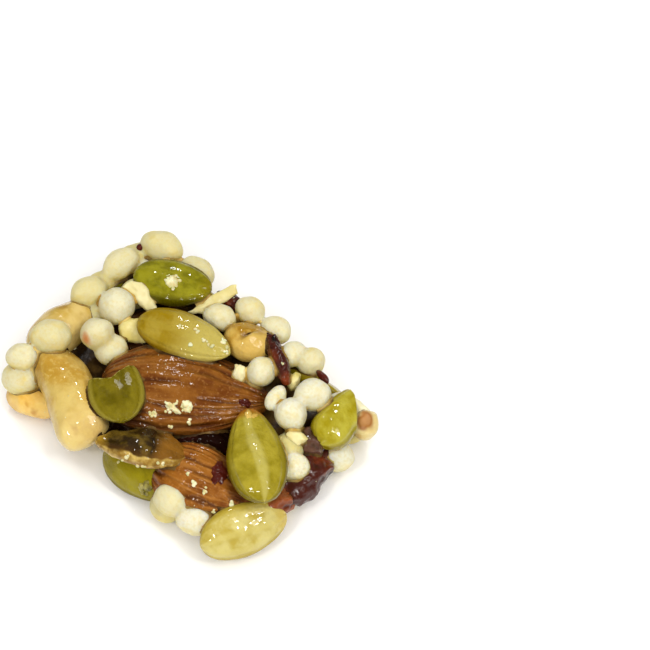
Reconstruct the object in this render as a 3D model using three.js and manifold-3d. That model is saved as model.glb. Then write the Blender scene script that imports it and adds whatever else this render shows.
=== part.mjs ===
// Nut and seed energy bar: a short slab of crisp round puffs held by hardened syrup,
// with almonds, pumpkin seeds, peanuts, a cashew and dried cranberries pressed into every face.
// Millimetres, +Z up. The origin is on the flat underside, at the middle of the slab.
// +X runs along the bar and +Y across it.
import * as THREE from "three";
import { mergeVertices } from "three/addons/utils/BufferGeometryUtils.js";
import Module from "manifold-3d";

const wasm = await Module();
wasm.setup();

// Driving dimensions of the slab of syrup and crushed puffs that carries everything else.
const slab = { length: 42, width: 27, height: 7.8, skew: 0.8, corner: 4, chamfer: 1.6 };
const clearance = 0.3; // gap round each kernel, where the syrup ends
const puffSize = 4.9; // diameter of an ordinary puff
const flakeLean = { turn: 43, roll: 35 }; // flakes and slivers lean back against the puffs behind them

// How finely each kind of kernel is divided, and its finish.
const kinds = {
  almond: { sides: 12, rings: 8, colour: 0x8a4b1f, roughness: 0.42 },
  pumpkin_seed: { sides: 10, rings: 6, colour: 0x7f8a2a, roughness: 0.3 },
  peanut: { sides: 8, rings: 6, colour: 0xe0b866, roughness: 0.4 },
  cashew: { sides: 12, rings: 8, colour: 0xe2b45c, roughness: 0.35 },
  cranberry: { detail: 1, colour: 0x4a1418, roughness: 0.35 },
};

// Kernels, the topmost first, because each one leaves its print in those listed after it.
// A name is the kind and a number. at is the centre, and size is length, width and thickness.
// turn is about +Z. On a side face a positive roll tips the flat side outwards. A broken seed keeps
// what lies behind its broken edge, a line of points across the seed and along it.
const kernels = [
  // The broad face, as it lies.
  { name: "pumpkin_seed_1", at: [-13.4, 9.8, 10.0], turn: 29, size: [11.8, 7.8, 3.6] },
  { name: "pumpkin_seed_2", at: [-4.9, 3.8, 10.9], turn: 19, roll: 8, size: [14.8, 7.0, 3.3] },
  { name: "pumpkin_seed_3", at: [16.2, -3.2, 10.1], turn: 143, size: [15.4, 8.2, 4.2] },
  { name: "pumpkin_seed_4", at: [-6.4, -8.6, 10.5], turn: 147, size: [12.8, 7.8, 2.9],
    broken: [[-4, 1.7], [-1.1, 1.9], [0.8, 0.5], [4, 0.4]] },
  { name: "pumpkin_seed_5", at: [20.0, 10.2, 8.4], turn: 99, roll: 14, size: [10.6, 5.8, 4.4],
    broken: [[-4, -2.2], [0.5, 3.2], [3, 4.8]] },
  { name: "pumpkin_seed_6", at: [20.9, -10.7, 4.5], turn: 66, roll: 42, size: [12.8, 7.4, 3.6] },
  { name: "pumpkin_seed_8", at: [2.9, -12.6, 8.6], turn: 211, roll: 22, size: [12.8, 7.2, 3.2] },
  { name: "pumpkin_seed_7", at: [3.6, -14.2, 4.6], turn: 4, roll: 52, size: [12.4, 7.6, 3.2] },
  { name: "cranberry_1", at: [6.9, 10.8, 9.9], turn: -29, size: [8.8, 2.9, 2.8] },
  { name: "cranberry_2", at: [21.0, 0.9, 4.6], turn: 87, roll: 20, size: [11.2, 6.0, 5.0] },
  { name: "peanut_1", at: [1.5, 10.2, 8.7], turn: 20, size: [7.0, 5.6, 5.0] },
  { name: "peanut_2", at: [-20.8, -6.0, 7.2], turn: 86, size: [11.2, 6.4, 6.4] },
  { name: "peanut_3", at: [-17.2, -15.0, 2.5], turn: 24, size: [8.4, 5.4, 4.4] },
  { name: "cashew_1", at: [-11.3, -13.3, 6.9], turn: -24, size: [17.4, 8.8, 8.2] },
  { name: "almond_1", at: [0.2, -1.3, 7.1], turn: 36, size: [24.8, 15.2, 8.2] },
  { name: "almond_2", at: [13.0, -9.5, 5.5], turn: 16, roll: 12, size: [17.8, 10.4, 7.4] },
  { name: "cranberry_3", at: [6.9, -4.7, 4.8], turn: 40, size: [11.0, 5.2, 4.6] },
  { name: "cranberry_4", at: [19.0, 4.9, 7.4], turn: 20, size: [5.0, 3.8, 3.4] },
  // The far long side.
  { name: "pumpkin_seed_9", at: [-9.6, 13.5, 4.2], turn: 172, roll: 70, size: [13.6, 7.4, 3.2] },
  { name: "pumpkin_seed_10", at: [10.2, 13.5, 4.0], turn: 186, roll: 66, size: [14.0, 7.4, 3.2] },
  { name: "peanut_4", at: [0.6, 12.6, 3.2], turn: 170, size: [9.2, 6.4, 5.6] },
  { name: "cranberry_5", at: [-18.8, 12.6, 4.0], turn: 150, size: [8.4, 5.4, 4.6] },
  { name: "cranberry_6", at: [-6.4, 14.2, 7.6], turn: 176, size: [4.6, 2.8, 2.4] },
  // The end behind the broad face.
  { name: "pumpkin_seed_11", at: [-21.2, 4.4, 4.2], turn: 262, roll: 66, size: [13.0, 7.6, 3.2] },
  { name: "cranberry_7", at: [-21.8, -2.4, 7.2], turn: 262, size: [5.4, 3.4, 3.0] },
  { name: "peanut_5", at: [-20.4, -5.6, 2.7], turn: 100, size: [9.0, 6.4, 5.0] },
  // The near long side and the near end, below the broad face.
  { name: "cranberry_8", at: [-2.4, -12.4, 5.0], turn: 8, size: [5.6, 4.6, 4.8] },
  { name: "peanut_6", at: [22.3, 12.9, 5.9], turn: 43, size: [3.8, 3.8, 5.2] },
  // The underside, pressed flat on the tray.
  { name: "pumpkin_seed_12", at: [-9.5, -6.4, 0.9], turn: 24, size: [13.6, 7.6, 3.0] },
  { name: "pumpkin_seed_13", at: [3.4, 4.6, 0.9], turn: 148, size: [14.2, 7.4, 3.0] },
  { name: "pumpkin_seed_14", at: [14.8, 3.2, 0.9], turn: 64, size: [12.8, 7.2, 3.0] },
  { name: "almond_3", at: [-12.2, 4.8, 3.0], turn: 62, size: [18.5, 10.8, 7.0] },
  { name: "peanut_7", at: [5.6, -8.0, 1.9], turn: -30, size: [9.6, 6.6, 4.8] },
  { name: "cranberry_9", at: [-3.4, -4.8, 1.2], turn: 100, size: [7.4, 4.8, 3.4] },
];

// A puff is as high as it is wide.
function puff(x, y, z, length, width, turn) {
  return { at: [x, y, z], size: [length, width, width], turn };
}

// Puffs of the broad face and its near edges: x, y, z, length, width, turn.
const facePuffs = [
  puff(-19.8, 13.6, 9.4, 6.8, 4.7, 17),
  puff(-22.0, 7.3, 9.0, 6.2, 4.3, 85),
  puff(-21.6, 0.6, 9.1, 5.8, 4.6, 80),
  puff(-16.5, 1.4, 9.6, 5.4, 5.3, 0),
  puff(-19.3, -9.1, 10.2, 6.2, 5.0, 43),
  puff(-14.8, -4.1, 10.1, 4.9, 4.8, 0),
  puff(-12.4, -3.8, 8.0, 4.9, 4.6, 60),
  puff(-20.5, -13.7, 8.9, 4.9, 4.0, 43),
  puff(-19.9, -14.9, 5.3, 5.7, 5.0, 43),
  puff(-13.2, 14.5, 7.8, 5.6, 4.8, 10),
  puff(-4.1, 10.3, 9.6, 4.9, 4.0, 8),
  puff(-2.0, 14.5, 9.0, 4.6, 4.1, 10),
  puff(2.8, 14.8, 8.5, 4.8, 3.9, 5),
  puff(7.8, 13.0, 9.0, 4.4, 3.6, 90),
  puff(10.0, 14.5, 7.8, 4.4, 4.1, 90),
  puff(6.9, 7.5, 9.6, 4.6, 4.3, 90),
  puff(15.2, 9.5, 10.0, 5.3, 4.7, 43),
  puff(11.6, 5.6, 10.0, 4.4, 2.5, 100),
  puff(15.1, 5.1, 10.0, 4.7, 4.6, 0),
  puff(22.0, 7.3, 3.7, 4.8, 4.6, 90),
  puff(20.3, 0.1, 7.4, 4.4, 3.8, 60),
  puff(10.9, -14.4, 5.7, 5.6, 4.7, 30),
  puff(15.1, -14.2, 4.7, 5.6, 4.4, 40),
  puff(-22.2, 10.9, 7.2, 5.6, 4.4, 60),
  puff(-22.4, 3.9, 7.0, 5.6, 4.4, 82),
  puff(9.8, -14.9, 3.0, 4.8, 4.4, 20),
];

// Flakes and slivers on the broad face: plates whose outlines run round them, to the right and up.
const flakes = [
  { at: [-14.8, 4.8, 10.4], thickness: 1.3, outline: [[-2.8, 1.4], [-2.2, 0.8], [-1.0, -0.2], [-0.3, -1.3],
    [0.8, -2.2], [2.1, -2.2], [2.3, -1.6], [1.6, -0.2], [1.1, 1.0], [0.2, 1.9], [-1.5, 2.2]] },
  { at: [-6.8, 12.0, 9.5], thickness: 0.9, outline: [[-4.0, -1.7], [-3.4, -1.9], [-1.4, -1.9], [0.0, -1.0],
    [2.0, 0.1], [3.4, 1.1], [3.0, 1.9], [3.1, 2.4], [2.6, 2.4], [-0.6, 0.7], [-2.9, -1.0]] },
  { at: [-12.3, 0.4, 8.3], thickness: 2.2, outline: [[-2.1, 0.8], [-1.8, -0.6], [-0.6, -1.5], [1.5, -1.8],
    [2.8, -1.5], [2.0, -0.2], [1.4, 1.2], [0.9, 2.0], [-0.5, 2.0], [-1.7, 1.7]] },
  { at: [18.1, 2.8, 8.8], thickness: 1.6, outline: [[-1.1, 0.1], [-1.0, -0.9], [0.0, -1.3], [0.8, -0.4],
    [1.9, 0.3], [0.8, 1.3], [-0.9, 1.3], [-1.4, 1.0]] },
  { at: [4.6, 5.2, 9.6], thickness: 1.5, outline: [[-0.9, -0.3], [-0.4, -1.0], [0.4, -1.3], [1.0, -0.5],
    [1.0, 0.9], [0.3, 1.3], [-0.5, 1.0]] },
  { at: [10.9, 9.9, 8.7], thickness: 2.2, outline: [[-0.9, -0.6], [-0.3, -1.4], [0.5, -1.2], [1.0, 0.0],
    [1.1, 1.0], [0.4, 1.4], [-0.2, 0.9]] },
  { at: [19.3, 13.9, 7.9], thickness: 0.8, outline: [[-2.1, 1.3], [-1.6, 0.9], [1.2, -1.3], [2.1, -1.7],
    [2.0, -1.1], [-1.2, 1.3], [-2.0, 1.7]] },
];

// Puffs bedded in the four side faces, in staggered rows, and those seen deeper between the kernels of
// the broad face. A kernel keeps them off over crowding times its squared reach.
const sideRows = { heights: [2.4, 6.3], spacing: 5.0, sunk: 1.2, crowding: 1.0, firstDraw: 0 };
const bed = { height: 6.9, spacing: 4.7, apart: 2.9, crowding: 1.8, firstDraw: 500 };
const uneven = { wander: 0.7, size: 0.12 }; // how far a bedded puff strays, and how much its size varies
const rowPitch = Math.sqrt(3) / 2; // rows of a honeycomb, as a share of its spacing

const radians = THREE.MathUtils.degToRad;

// A repeatable number from 0 to 1 for the nth draw.
function draw(n) {
  const wave = Math.sin(n * 12.9898) * 43758.5453;
  return wave - Math.floor(wave);
}

// Moves every vertex of a geometry by a rule and leaves one closed set of shared vertices.
function mould(geometry, rule) {
  const points = geometry.attributes.position;
  const point = new THREE.Vector3();
  for (let i = 0; i < points.count; i += 1) {
    point.fromBufferAttribute(points, i);
    rule(point);
    points.setXYZ(i, point.x, point.y, point.z);
  }
  geometry.deleteAttribute("normal");
  geometry.deleteAttribute("uv");
  return mergeVertices(geometry, 1e-4);
}

// A unit ball whose poles lie on X, so that its rings are sections across the kernel.
function ballAlongX(sides, rings) {
  return new THREE.SphereGeometry(1, sides, rings).rotateZ(-Math.PI / 2);
}

// Each profile gives the section's share of full width and thickness at x, which runs from -1 at the
// blunt end to 1 at the tip.
const profiles = {
  almond: (x) => (1 - 0.14 * x) * ((1 - x) / 2 + 0.06) ** 0.14 * 1.05,
  pumpkin_seed: (x) => (1 - 0.1 * x) * ((1 - x) / 2 + 0.1) ** 0.16 * 1.08,
  peanut: (x) => 1 + 0.1 * x * x,
  cashew: (x) => 1 + 0.1 * x + 0.24 * x * x,
};
const cashewBend = 0.06; // how far a cashew's middle bows out, as a share of its length
const wrinkle = 0.13; // depth of a cranberry's wrinkles, as a share of its radius

function cranberryGeometry([length, width, thickness], detail) {
  return mould(new THREE.IcosahedronGeometry(1, detail), (p) => {
    const folds = Math.sin(5.2 * p.x + 3.1 * p.y) + Math.sin(6.3 * p.y - 4.4 * p.z + 1.7);
    p.multiplyScalar(1 + (wrinkle / 2) * folds);
    p.set((p.x * length) / 2, (p.y * width) / 2, (p.z * thickness) / 2);
  });
}

function kindOf(name) {
  return name.slice(0, name.lastIndexOf("_"));
}

// A kernel of its kind lying along X, every face moved out by grow.
function kernelGeometry({ name, size }, grow) {
  const kind = kindOf(name);
  const { sides, rings, detail } = kinds[kind];
  const [length, width, thickness] = size.map((s) => s + 2 * grow);
  if (kind === "cranberry") return cranberryGeometry([length, width, thickness], detail);
  const profile = profiles[kind];
  return mould(ballAlongX(sides, rings), (p) => {
    const share = profile(p.x);
    const bow = kind === "cashew" ? cashewBend * length * (0.5 - p.x * p.x) : 0;
    p.set((p.x * length) / 2, (p.y * width * share) / 2 + bow, (p.z * thickness * share) / 2);
  });
}

function solidOf(geometry) {
  const mesh = new wasm.Mesh({
    numProp: 3,
    vertProperties: new Float32Array(geometry.attributes.position.array),
    triVerts: new Uint32Array(geometry.index.array),
  });
  return new wasm.Manifold(mesh);
}

function geometryOf(solid) {
  const mesh = solid.getMesh();
  return new THREE.BufferGeometry()
    .setAttribute("position", new THREE.BufferAttribute(mesh.vertProperties, 3))
    .setIndex(new THREE.BufferAttribute(mesh.triVerts, 1));
}

// The largest of the bodies that a cut leaves: loose scraps are dropped.
function largestBody(solid) {
  return solid.decompose().reduce((most, body) => (body.volume() > most.volume() ? body : most));
}

const placing = new THREE.Object3D();
placing.rotation.order = "ZYX";

function placeMatrix({ at, turn, roll = 0 }) {
  placing.position.set(...at);
  placing.rotation.set(radians(roll), 0, radians(turn));
  placing.updateMatrix();
  return placing.matrix.clone();
}

// A flat plate of the given outline, with its middle level at height 0.
function plate(outline, thickness) {
  const shape = new THREE.Shape(outline.map(([x, y]) => new THREE.Vector2(x, y)));
  const extruded = new THREE.ExtrudeGeometry(shape, { depth: thickness, bevelEnabled: false });
  return solidOf(mould(extruded.translate(0, 0, -thickness / 2), () => {}));
}

// The kernel as a solid in the bar's frame. A broken one loses what lies past its broken edge.
function kernelSolid(kernel, grow) {
  let solid = solidOf(kernelGeometry(kernel, grow));
  if (kernel.broken) {
    const [length, width] = kernel.size;
    const edge = kernel.broken.map(([across, along]) => [along + grow, across]);
    solid = solid.subtract(plate([...edge, [length, width], [length, -width]], width));
  }
  return solid.transform(placeMatrix(kernel).elements);
}

// Everything is cut off level at the underside.
const reach = 100;
const aboveTray = solidOf(
  mould(new THREE.BoxGeometry(reach, reach, reach).translate(0, 0, reach / 2), () => {}),
);

// A puff: a ball of few sides, stretched to its length, width and height.
function pressedBall(ball, { at, size, turn }) {
  const [length, width, height] = size;
  const pressed = mould(ball, (p) => p.set(p.x * length, p.y * width, p.z * height));
  return solidOf(pressed).transform(placeMatrix({ at, turn }).elements);
}

function leaningFlake({ at, outline, thickness }) {
  return plate(outline, thickness).transform(placeMatrix({ at, ...flakeLean }).elements);
}

// The slab is a slightly skewed rectangle with round corners and chamfered edges.
function slabSolid() {
  const { length, width, height, skew, corner, chamfer } = slab;
  const [outX, outY] = [length / 2 - chamfer - corner, width / 2 - chamfer - corner];
  const outline = new THREE.Shape();
  const corners = [[1, 1], [-1, 1], [-1, -1], [1, -1]];
  corners.forEach(([sideX, sideY], quarter) => {
    const start = (quarter * Math.PI) / 2;
    outline.absarc(sideX * outX + sideY * skew, sideY * outY, corner, start, start + Math.PI / 2);
  });
  const extruded = new THREE.ExtrudeGeometry(outline, {
    depth: height - 2 * chamfer,
    bevelThickness: chamfer,
    bevelSize: chamfer,
    bevelSegments: 1,
    curveSegments: 2,
  });
  return solidOf(mould(extruded.translate(0, 0, chamfer), () => {}));
}

// A bedded puff near x, y, z, a little out of line and out of size by the nth set of draws.
function strayPuff(x, y, z, n) {
  const stray = (k) => uneven.wander * (draw(4 * n + k) - 0.5);
  const size = puffSize * (1 + uneven.size * (2 * draw(4 * n) - 1));
  return puff(x + stray(1), y + stray(2), z + stray(3), size, size, 0);
}

// Staggered rows of puffs round the four sides.
function sidePuffs() {
  const { heights, spacing, sunk, firstDraw } = sideRows;
  const puffs = [];
  for (let side = 0; side < 4; side += 1) {
    const angle = (side * Math.PI) / 2;
    const [run, across] = side % 2 ? [slab.width, slab.length] : [slab.length, slab.width];
    const count = Math.floor(run / spacing);
    heights.forEach((height, row) => {
      for (let i = 0; i <= count - row; i += 1) {
        const along = (i - (count - row) / 2) * spacing;
        const out = across / 2 - sunk;
        const x = along * Math.cos(angle) + out * Math.sin(angle);
        const y = along * Math.sin(angle) - out * Math.cos(angle);
        puffs.push(strayPuff(x, y, height, firstDraw + 100 * side + 20 * row + i));
      }
    });
  }
  return puffs;
}

// A honeycomb of puffs under the broad face, left out where a face puff already lies.
function bedPuffs() {
  const { height, spacing, apart, firstDraw } = bed;
  const puffs = [];
  const rows = Math.floor(slab.width / (spacing * rowPitch));
  const columns = Math.floor(slab.length / spacing);
  for (let row = 0; row < rows; row += 1) {
    for (let column = 0; column < columns; column += 1) {
      const x = (column - (columns - 1) / 2 + (row % 2 ? 0.25 : -0.25)) * spacing;
      const y = (row - (rows - 1) / 2) * spacing * rowPitch;
      const taken = facePuffs.some(({ at }) => Math.hypot(at[0] - x, at[1] - y) < apart);
      if (!taken) puffs.push(strayPuff(x, y, height, firstDraw + 20 * row + column));
    }
  }
  return puffs;
}

// True where no kernel lies round or against a puff's middle, so that there is room for it.
function hasRoom({ at }, crowding) {
  return kernels.every((kernel) => {
    const halfSize = new THREE.Vector3(...kernel.size).divideScalar(2);
    const local = new THREE.Vector3(...at).applyMatrix4(placeMatrix(kernel).invert());
    return local.divide(halfSize).lengthSq() >= crowding;
  });
}

// Syrup slab, puffs and flakes as one body, with a print for every kernel.
function crispMass(grownKernels) {
  const bedded = [
    ...sidePuffs().filter((each) => hasRoom(each, sideRows.crowding)),
    ...bedPuffs().filter((each) => hasRoom(each, bed.crowding)),
  ];
  const pieces = [
    slabSolid(),
    ...facePuffs.map((each) => pressedBall(new THREE.IcosahedronGeometry(0.5, 1), each)),
    ...bedded.map((each) => pressedBall(new THREE.OctahedronGeometry(0.5, 1), each)),
    ...flakes.map(leaningFlake),
  ];
  const whole = wasm.Manifold.union(pieces);
  return largestBody(whole.subtract(wasm.Manifold.union(grownKernels)).intersect(aboveTray));
}

function materialOf({ colour, roughness }) {
  return new THREE.MeshStandardMaterial({ color: colour, roughness, metalness: 0 });
}

const bar = new THREE.Group();
const grown = [];

for (const kernel of kernels) {
  let solid = kernelSolid(kernel, 0);
  for (const above of grown) solid = solid.subtract(above);
  solid = largestBody(solid.intersect(aboveTray));
  grown.push(kernelSolid(kernel, clearance));

  const mesh = new THREE.Mesh(undefined, materialOf(kinds[kindOf(kernel.name)]));
  mesh.name = kernel.name;
  mesh.applyMatrix4(placeMatrix(kernel));
  mesh.updateMatrix();
  mesh.geometry = geometryOf(solid).applyMatrix4(mesh.matrix.clone().invert());
  bar.add(mesh);
}

const mass = new THREE.Mesh(
  geometryOf(crispMass(grown)),
  materialOf({ colour: 0xe9dfae, roughness: 0.7 }),
);
mass.name = "crisp_mass";
bar.add(mass);

export default bar;
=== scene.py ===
import math

import bpy
import numpy as np
from mathutils import Euler, Matrix, Vector, noise
from mathutils.bvhtree import BVHTree


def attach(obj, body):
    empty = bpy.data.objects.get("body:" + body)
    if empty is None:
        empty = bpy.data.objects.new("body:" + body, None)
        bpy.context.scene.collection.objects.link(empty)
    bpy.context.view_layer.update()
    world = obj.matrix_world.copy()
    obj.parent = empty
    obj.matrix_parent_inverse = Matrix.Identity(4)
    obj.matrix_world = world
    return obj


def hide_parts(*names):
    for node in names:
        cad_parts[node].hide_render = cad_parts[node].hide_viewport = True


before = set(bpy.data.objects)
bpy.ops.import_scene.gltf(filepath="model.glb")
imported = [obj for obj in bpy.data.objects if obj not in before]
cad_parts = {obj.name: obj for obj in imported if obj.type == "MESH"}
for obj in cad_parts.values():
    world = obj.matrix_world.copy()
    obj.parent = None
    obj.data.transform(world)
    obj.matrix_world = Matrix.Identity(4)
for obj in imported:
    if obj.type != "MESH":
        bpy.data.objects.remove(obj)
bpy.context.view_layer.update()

mm = 0.001
scene = bpy.context.scene


# small helpers


def paint(code):  # "#rrggbb" as seen on screen to the linear colour that shaders take
    channels = [int(code[i:i + 2], 16) / 255 for i in (1, 3, 5)]
    return tuple(c / 12.92 if c <= 0.04045 else ((c + 0.055) / 1.055) ** 2.4 for c in channels) + (1.0,)


drawRule = {"step": 12.9898, "spread": 43758.5453}
seedStep = np.array((7.31, 3.77, 5.19))  # from one seed's noise to the next


def draw(n):  # a repeatable number from 0 to 1, the same rule that bedded the puffs in the solid
    wave = math.sin(n * drawRule["step"]) * drawRule["spread"]
    return wave - math.floor(wave)


def noiseAt(points, frequency, seed=0.0):  # smooth noise from about -1 to 1 at each row of points
    moved = np.asarray(points) * frequency + seed * seedStep
    return np.array([noise.noise(p) for p in moved.tolist()])


def smoothStep(low, high, values):
    t = np.clip((np.asarray(values) - low) / (high - low), 0.0, 1.0)
    return t * t * (3 - 2 * t)


def placeMatrix(at, turn, roll=0.0):  # millimetres and degrees
    angles = Euler((math.radians(roll), 0, math.radians(turn)), "XYZ")
    return Matrix.Translation(Vector(at)) @ angles.to_matrix().to_4x4()


def placePoints(points, matrix):  # local millimetres to the bar's frame, pressed flat where the tray was
    turned = np.asarray(points) @ np.array(matrix.to_3x3()).T + np.array(matrix.translation)
    turned[:, 2] = np.maximum(turned[:, 2], 0.0)
    return turned


def addLayer(mesh, name, values):  # one number for each vertex, for the finishes to read
    layer = mesh.attributes.new(name, "FLOAT", "POINT")
    layer.data.foreach_set("value", np.asarray(values, np.float32))


def makeObject(name, points, faces, layers=None, material=None):  # millimetres in, metres out
    mesh = bpy.data.meshes.new(name)
    mesh.from_pydata((np.asarray(points) * mm).tolist(), [], faces)
    for key, values in (layers or {}).items():
        addLayer(mesh, key, values)
    if material:
        mesh.materials.append(material)
    mesh.shade_smooth()
    piece = bpy.data.objects.new(name, mesh)
    scene.collection.objects.link(piece)
    return piece


def meshPoints(mesh):  # vertex places in millimetres
    flat = np.zeros(len(mesh.vertices) * 3, np.float32)
    mesh.vertices.foreach_get("co", flat)
    return flat.reshape(-1, 3).astype(float) / mm


def asPlainMesh(piece):  # what the modifiers give becomes the piece's own mesh
    evaluated = piece.evaluated_get(bpy.context.evaluated_depsgraph_get())
    made = bpy.data.meshes.new_from_object(evaluated)
    piece.modifiers.clear()
    piece.data = made
    made.name = piece.name
    return piece


def dress(piece, slotName, *nodes):  # hand the piece to the frame
    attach(piece, "root")
    if nodes:
        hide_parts(*nodes)
    return piece


def shifted(faces, start):  # the same faces, counted from another first point
    return [tuple(start + v for v in face) for face in faces]


def meshFaces(mesh):
    return [tuple(polygon.vertices) for polygon in mesh.polygons]


def treeOf(pieces):  # the pieces' faces, to cast rays at
    points, faces = [], []
    for piece in pieces:
        faces += shifted(meshFaces(piece.data), len(points))
        points += [v.co.copy() for v in piece.data.vertices]
    return BVHTree.FromPolygons(points, faces)


# the photograph's camera


photoView = {"azimuth": 43, "elevation": 55, "pixelsPerMm": 7.0, "distance": 300, "frame": 650,
             "anchor": (0, 0, 9), "anchorPixel": (180, 379), "moved": 10, "sensor": 36, "nearest": 10}


def viewAxes():  # right, up and back of the view
    azimuth, elevation = math.radians(photoView["azimuth"]), math.radians(photoView["elevation"])
    right = Vector((math.cos(azimuth), math.sin(azimuth), 0))
    back = Vector((math.sin(azimuth) * math.cos(elevation), -math.cos(azimuth) * math.cos(elevation),
                   math.sin(elevation)))
    return right, back.cross(right), back


def cameraPlace(pixelX, pixelY):  # where the camera stands so that the anchor shows at that pixel
    right, up, back = viewAxes()
    half = photoView["frame"] / 2
    offX = (pixelX - half) / photoView["pixelsPerMm"]
    offY = (half - pixelY) / photoView["pixelsPerMm"]
    return Vector(photoView["anchor"]) + back * photoView["distance"] - right * offX - up * offY


def underPixel(tree, pixelX, pixelY):  # the point and the normal that the photograph shows at a pixel
    right, up, back = viewAxes()
    half = photoView["frame"] / 2
    focal = photoView["pixelsPerMm"] * photoView["distance"]
    ray = right * (pixelX - half) / focal + up * (half - pixelY) / focal - back
    hit, normal, _, _ = tree.ray_cast(cameraPlace(*photoView["anchorPixel"]) * mm, ray.normalized())
    return (hit / mm, normal) if hit else (None, None)


def photoCamera():
    right, up, back = viewAxes()
    pixelX, pixelY = photoView["anchorPixel"]
    data = bpy.data.cameras.new("photoCamera")
    data.sensor_width = photoView["sensor"]
    data.lens = data.sensor_width * photoView["pixelsPerMm"] * photoView["distance"] / photoView["frame"]
    data.clip_start = photoView["nearest"] * mm
    camera = bpy.data.objects.new("photoCamera", data)
    place = cameraPlace(pixelX + photoView["moved"], pixelY)  # moved so that the near left corner is whole
    camera.matrix_world = Matrix.Translation(place * mm) @ Matrix((right, up, back)).transposed().to_4x4()
    scene.collection.objects.link(camera)
    scene.camera = camera


# materials, made of small steps


noiseSpan = (0.3, 0.7)  # most of a noise texture's values lie between these


class Shader:
    def __init__(self, name):
        self.material = bpy.data.materials.new(name)
        self.material.use_nodes = True
        self.nodes = self.material.node_tree.nodes
        self.links = self.material.node_tree.links
        self.surface = self.nodes["Principled BSDF"]
        coords = self.nodes.new("ShaderNodeTexCoord")
        self.mapping = self.nodes.new("ShaderNodeMapping")
        self.mapping.inputs["Scale"].default_value = (1 / mm,) * 3  # patterns are sized in millimetres
        self.links.new(coords.outputs["Object"], self.mapping.inputs["Vector"])

    def grain(self, frequency, detail=2.0, roughness=0.5):
        node = self.nodes.new("ShaderNodeTexNoise")
        node.inputs["Scale"].default_value = frequency
        node.inputs["Detail"].default_value = detail
        node.inputs["Roughness"].default_value = roughness
        self.links.new(self.mapping.outputs["Vector"], node.inputs["Vector"])
        return node.outputs["Fac"]

    def attribute(self, name):
        node = self.nodes.new("ShaderNodeAttribute")
        node.attribute_name = name
        return node.outputs["Fac"]

    def between(self, source, low, high, bottom=0.0, top=1.0):  # a soft step from low to high
        node = self.nodes.new("ShaderNodeMapRange")
        node.interpolation_type = "SMOOTHSTEP"
        for key, value in (("From Min", low), ("From Max", high), ("To Min", bottom), ("To Max", top)):
            node.inputs[key].default_value = value
        self.links.new(source, node.inputs["Value"])
        return node.outputs["Result"]

    def patches(self, frequency, detail, low, high, most=1.0):  # a soft share, from noise
        return self.between(self.grain(frequency, detail), low, high, 0.0, most)

    def share(self, name, low, high, most=1.0):  # a soft share, from one of the piece's own layers
        return self.between(self.attribute(name), low, high, 0.0, most)

    def mix(self, share, first, second):  # colours are "#rrggbb" or another node's output
        node = self.nodes.new("ShaderNodeMix")
        node.data_type = "RGBA"
        self.links.new(share, node.inputs["Factor"])
        for value, socket in ((first, node.inputs[6]), (second, node.inputs[7])):
            if isinstance(value, str):
                socket.default_value = paint(value)
            else:
                self.links.new(value, socket)
        return node.outputs[2]

    def ground(self, share, first, second):
        self.base = self.mix(share, first, second)

    def over(self, share, colour):  # a colour laid over what is there, as far as the share goes
        self.base = self.mix(share, self.base, colour)

    def rough(self, frequency, least, most):  # roughness that varies with noise
        source = self.between(self.grain(frequency, 3), *noiseSpan, least, most)
        self.links.new(source, self.surface.inputs["Roughness"])

    def relief(self, height, depth):  # a height and how many millimetres it stands
        node = self.nodes.new("ShaderNodeBump")
        node.inputs["Distance"].default_value = depth * mm
        self.links.new(height, node.inputs["Height"])
        return node

    def ripple(self, height, depth):  # waves of the syrup film alone
        self.links.new(self.relief(height, depth).outputs["Normal"], self.surface.inputs["Coat Normal"])

    def bump(self, *layers):  # reliefs of the surface, the broad one first
        below = None
        for height, depth in layers:
            node = self.relief(height, depth)
            if below is not None:
                self.links.new(below, node.inputs["Normal"])
            below = node.outputs["Normal"]
        self.links.new(below, self.surface.inputs["Normal"])

    def finish(self, **values):  # constants go straight on the surface's own sockets
        self.links.new(self.base, self.surface.inputs["Base Color"])
        for key, value in values.items():
            self.surface.inputs[key.replace("_", " ")].default_value = value
        return self.material


# kernels: grids round X, from the blunt end at -1 to the tip at 1


def ringFaces(sides, rings):  # rings of points between two poles, the first point and the last
    last = 1 + sides * rings
    faces = []
    for j in range(sides):
        k = (j + 1) % sides
        faces.append((0, 1 + k, 1 + j))
        for low in range(1, last - sides, sides):
            high = low + sides
            faces.append((low + j, low + k, high + k, high + j))
        faces.append((last, last - sides + j, last - sides + k))
    return faces


def ballGrid(shape):
    sides, rings = shape["sides"], shape["rings"]
    x = -np.cos(np.linspace(0, math.pi, rings + 1))[1:-1]
    angle = np.linspace(0, 2 * math.pi, sides, endpoint=False)
    along = np.concatenate(([-1.0], np.repeat(x, sides), [1.0]))
    around = np.concatenate(([0.0], np.tile(angle, len(x)), [0.0]))
    return along, around, ringFaces(sides, len(x))


def unitBall(along, around):
    radius = np.sqrt(np.clip(1 - along ** 2, 0, 1))
    return np.stack([along, radius * np.cos(around), radius * np.sin(around)], 1)


def sectionPoints(along, around, size, profile, flatness=1.0):
    length, width, thickness = size
    radius = np.sqrt(np.clip(1 - along ** 2, 0, 1)) * profile
    across, up = np.cos(around), np.sin(around)
    up = np.sign(up) * np.abs(up) ** flatness
    return np.stack([along * length / 2, across * radius * width / 2, up * radius * thickness / 2], 1)


def tapered(x, shape):  # full at the blunt end, drawn in to the tip
    return (1 - shape["taper"] * x) * ((1 - x) / 2 + shape["tip"]) ** shape["point"] * shape["full"]


def outward(points, size):  # rough outward direction on a kernel lying at its own origin
    scaled = points / (np.asarray(size) / 2) ** 2
    return scaled / np.maximum(np.linalg.norm(scaled, axis=1, keepdims=True), 1e-9)


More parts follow.
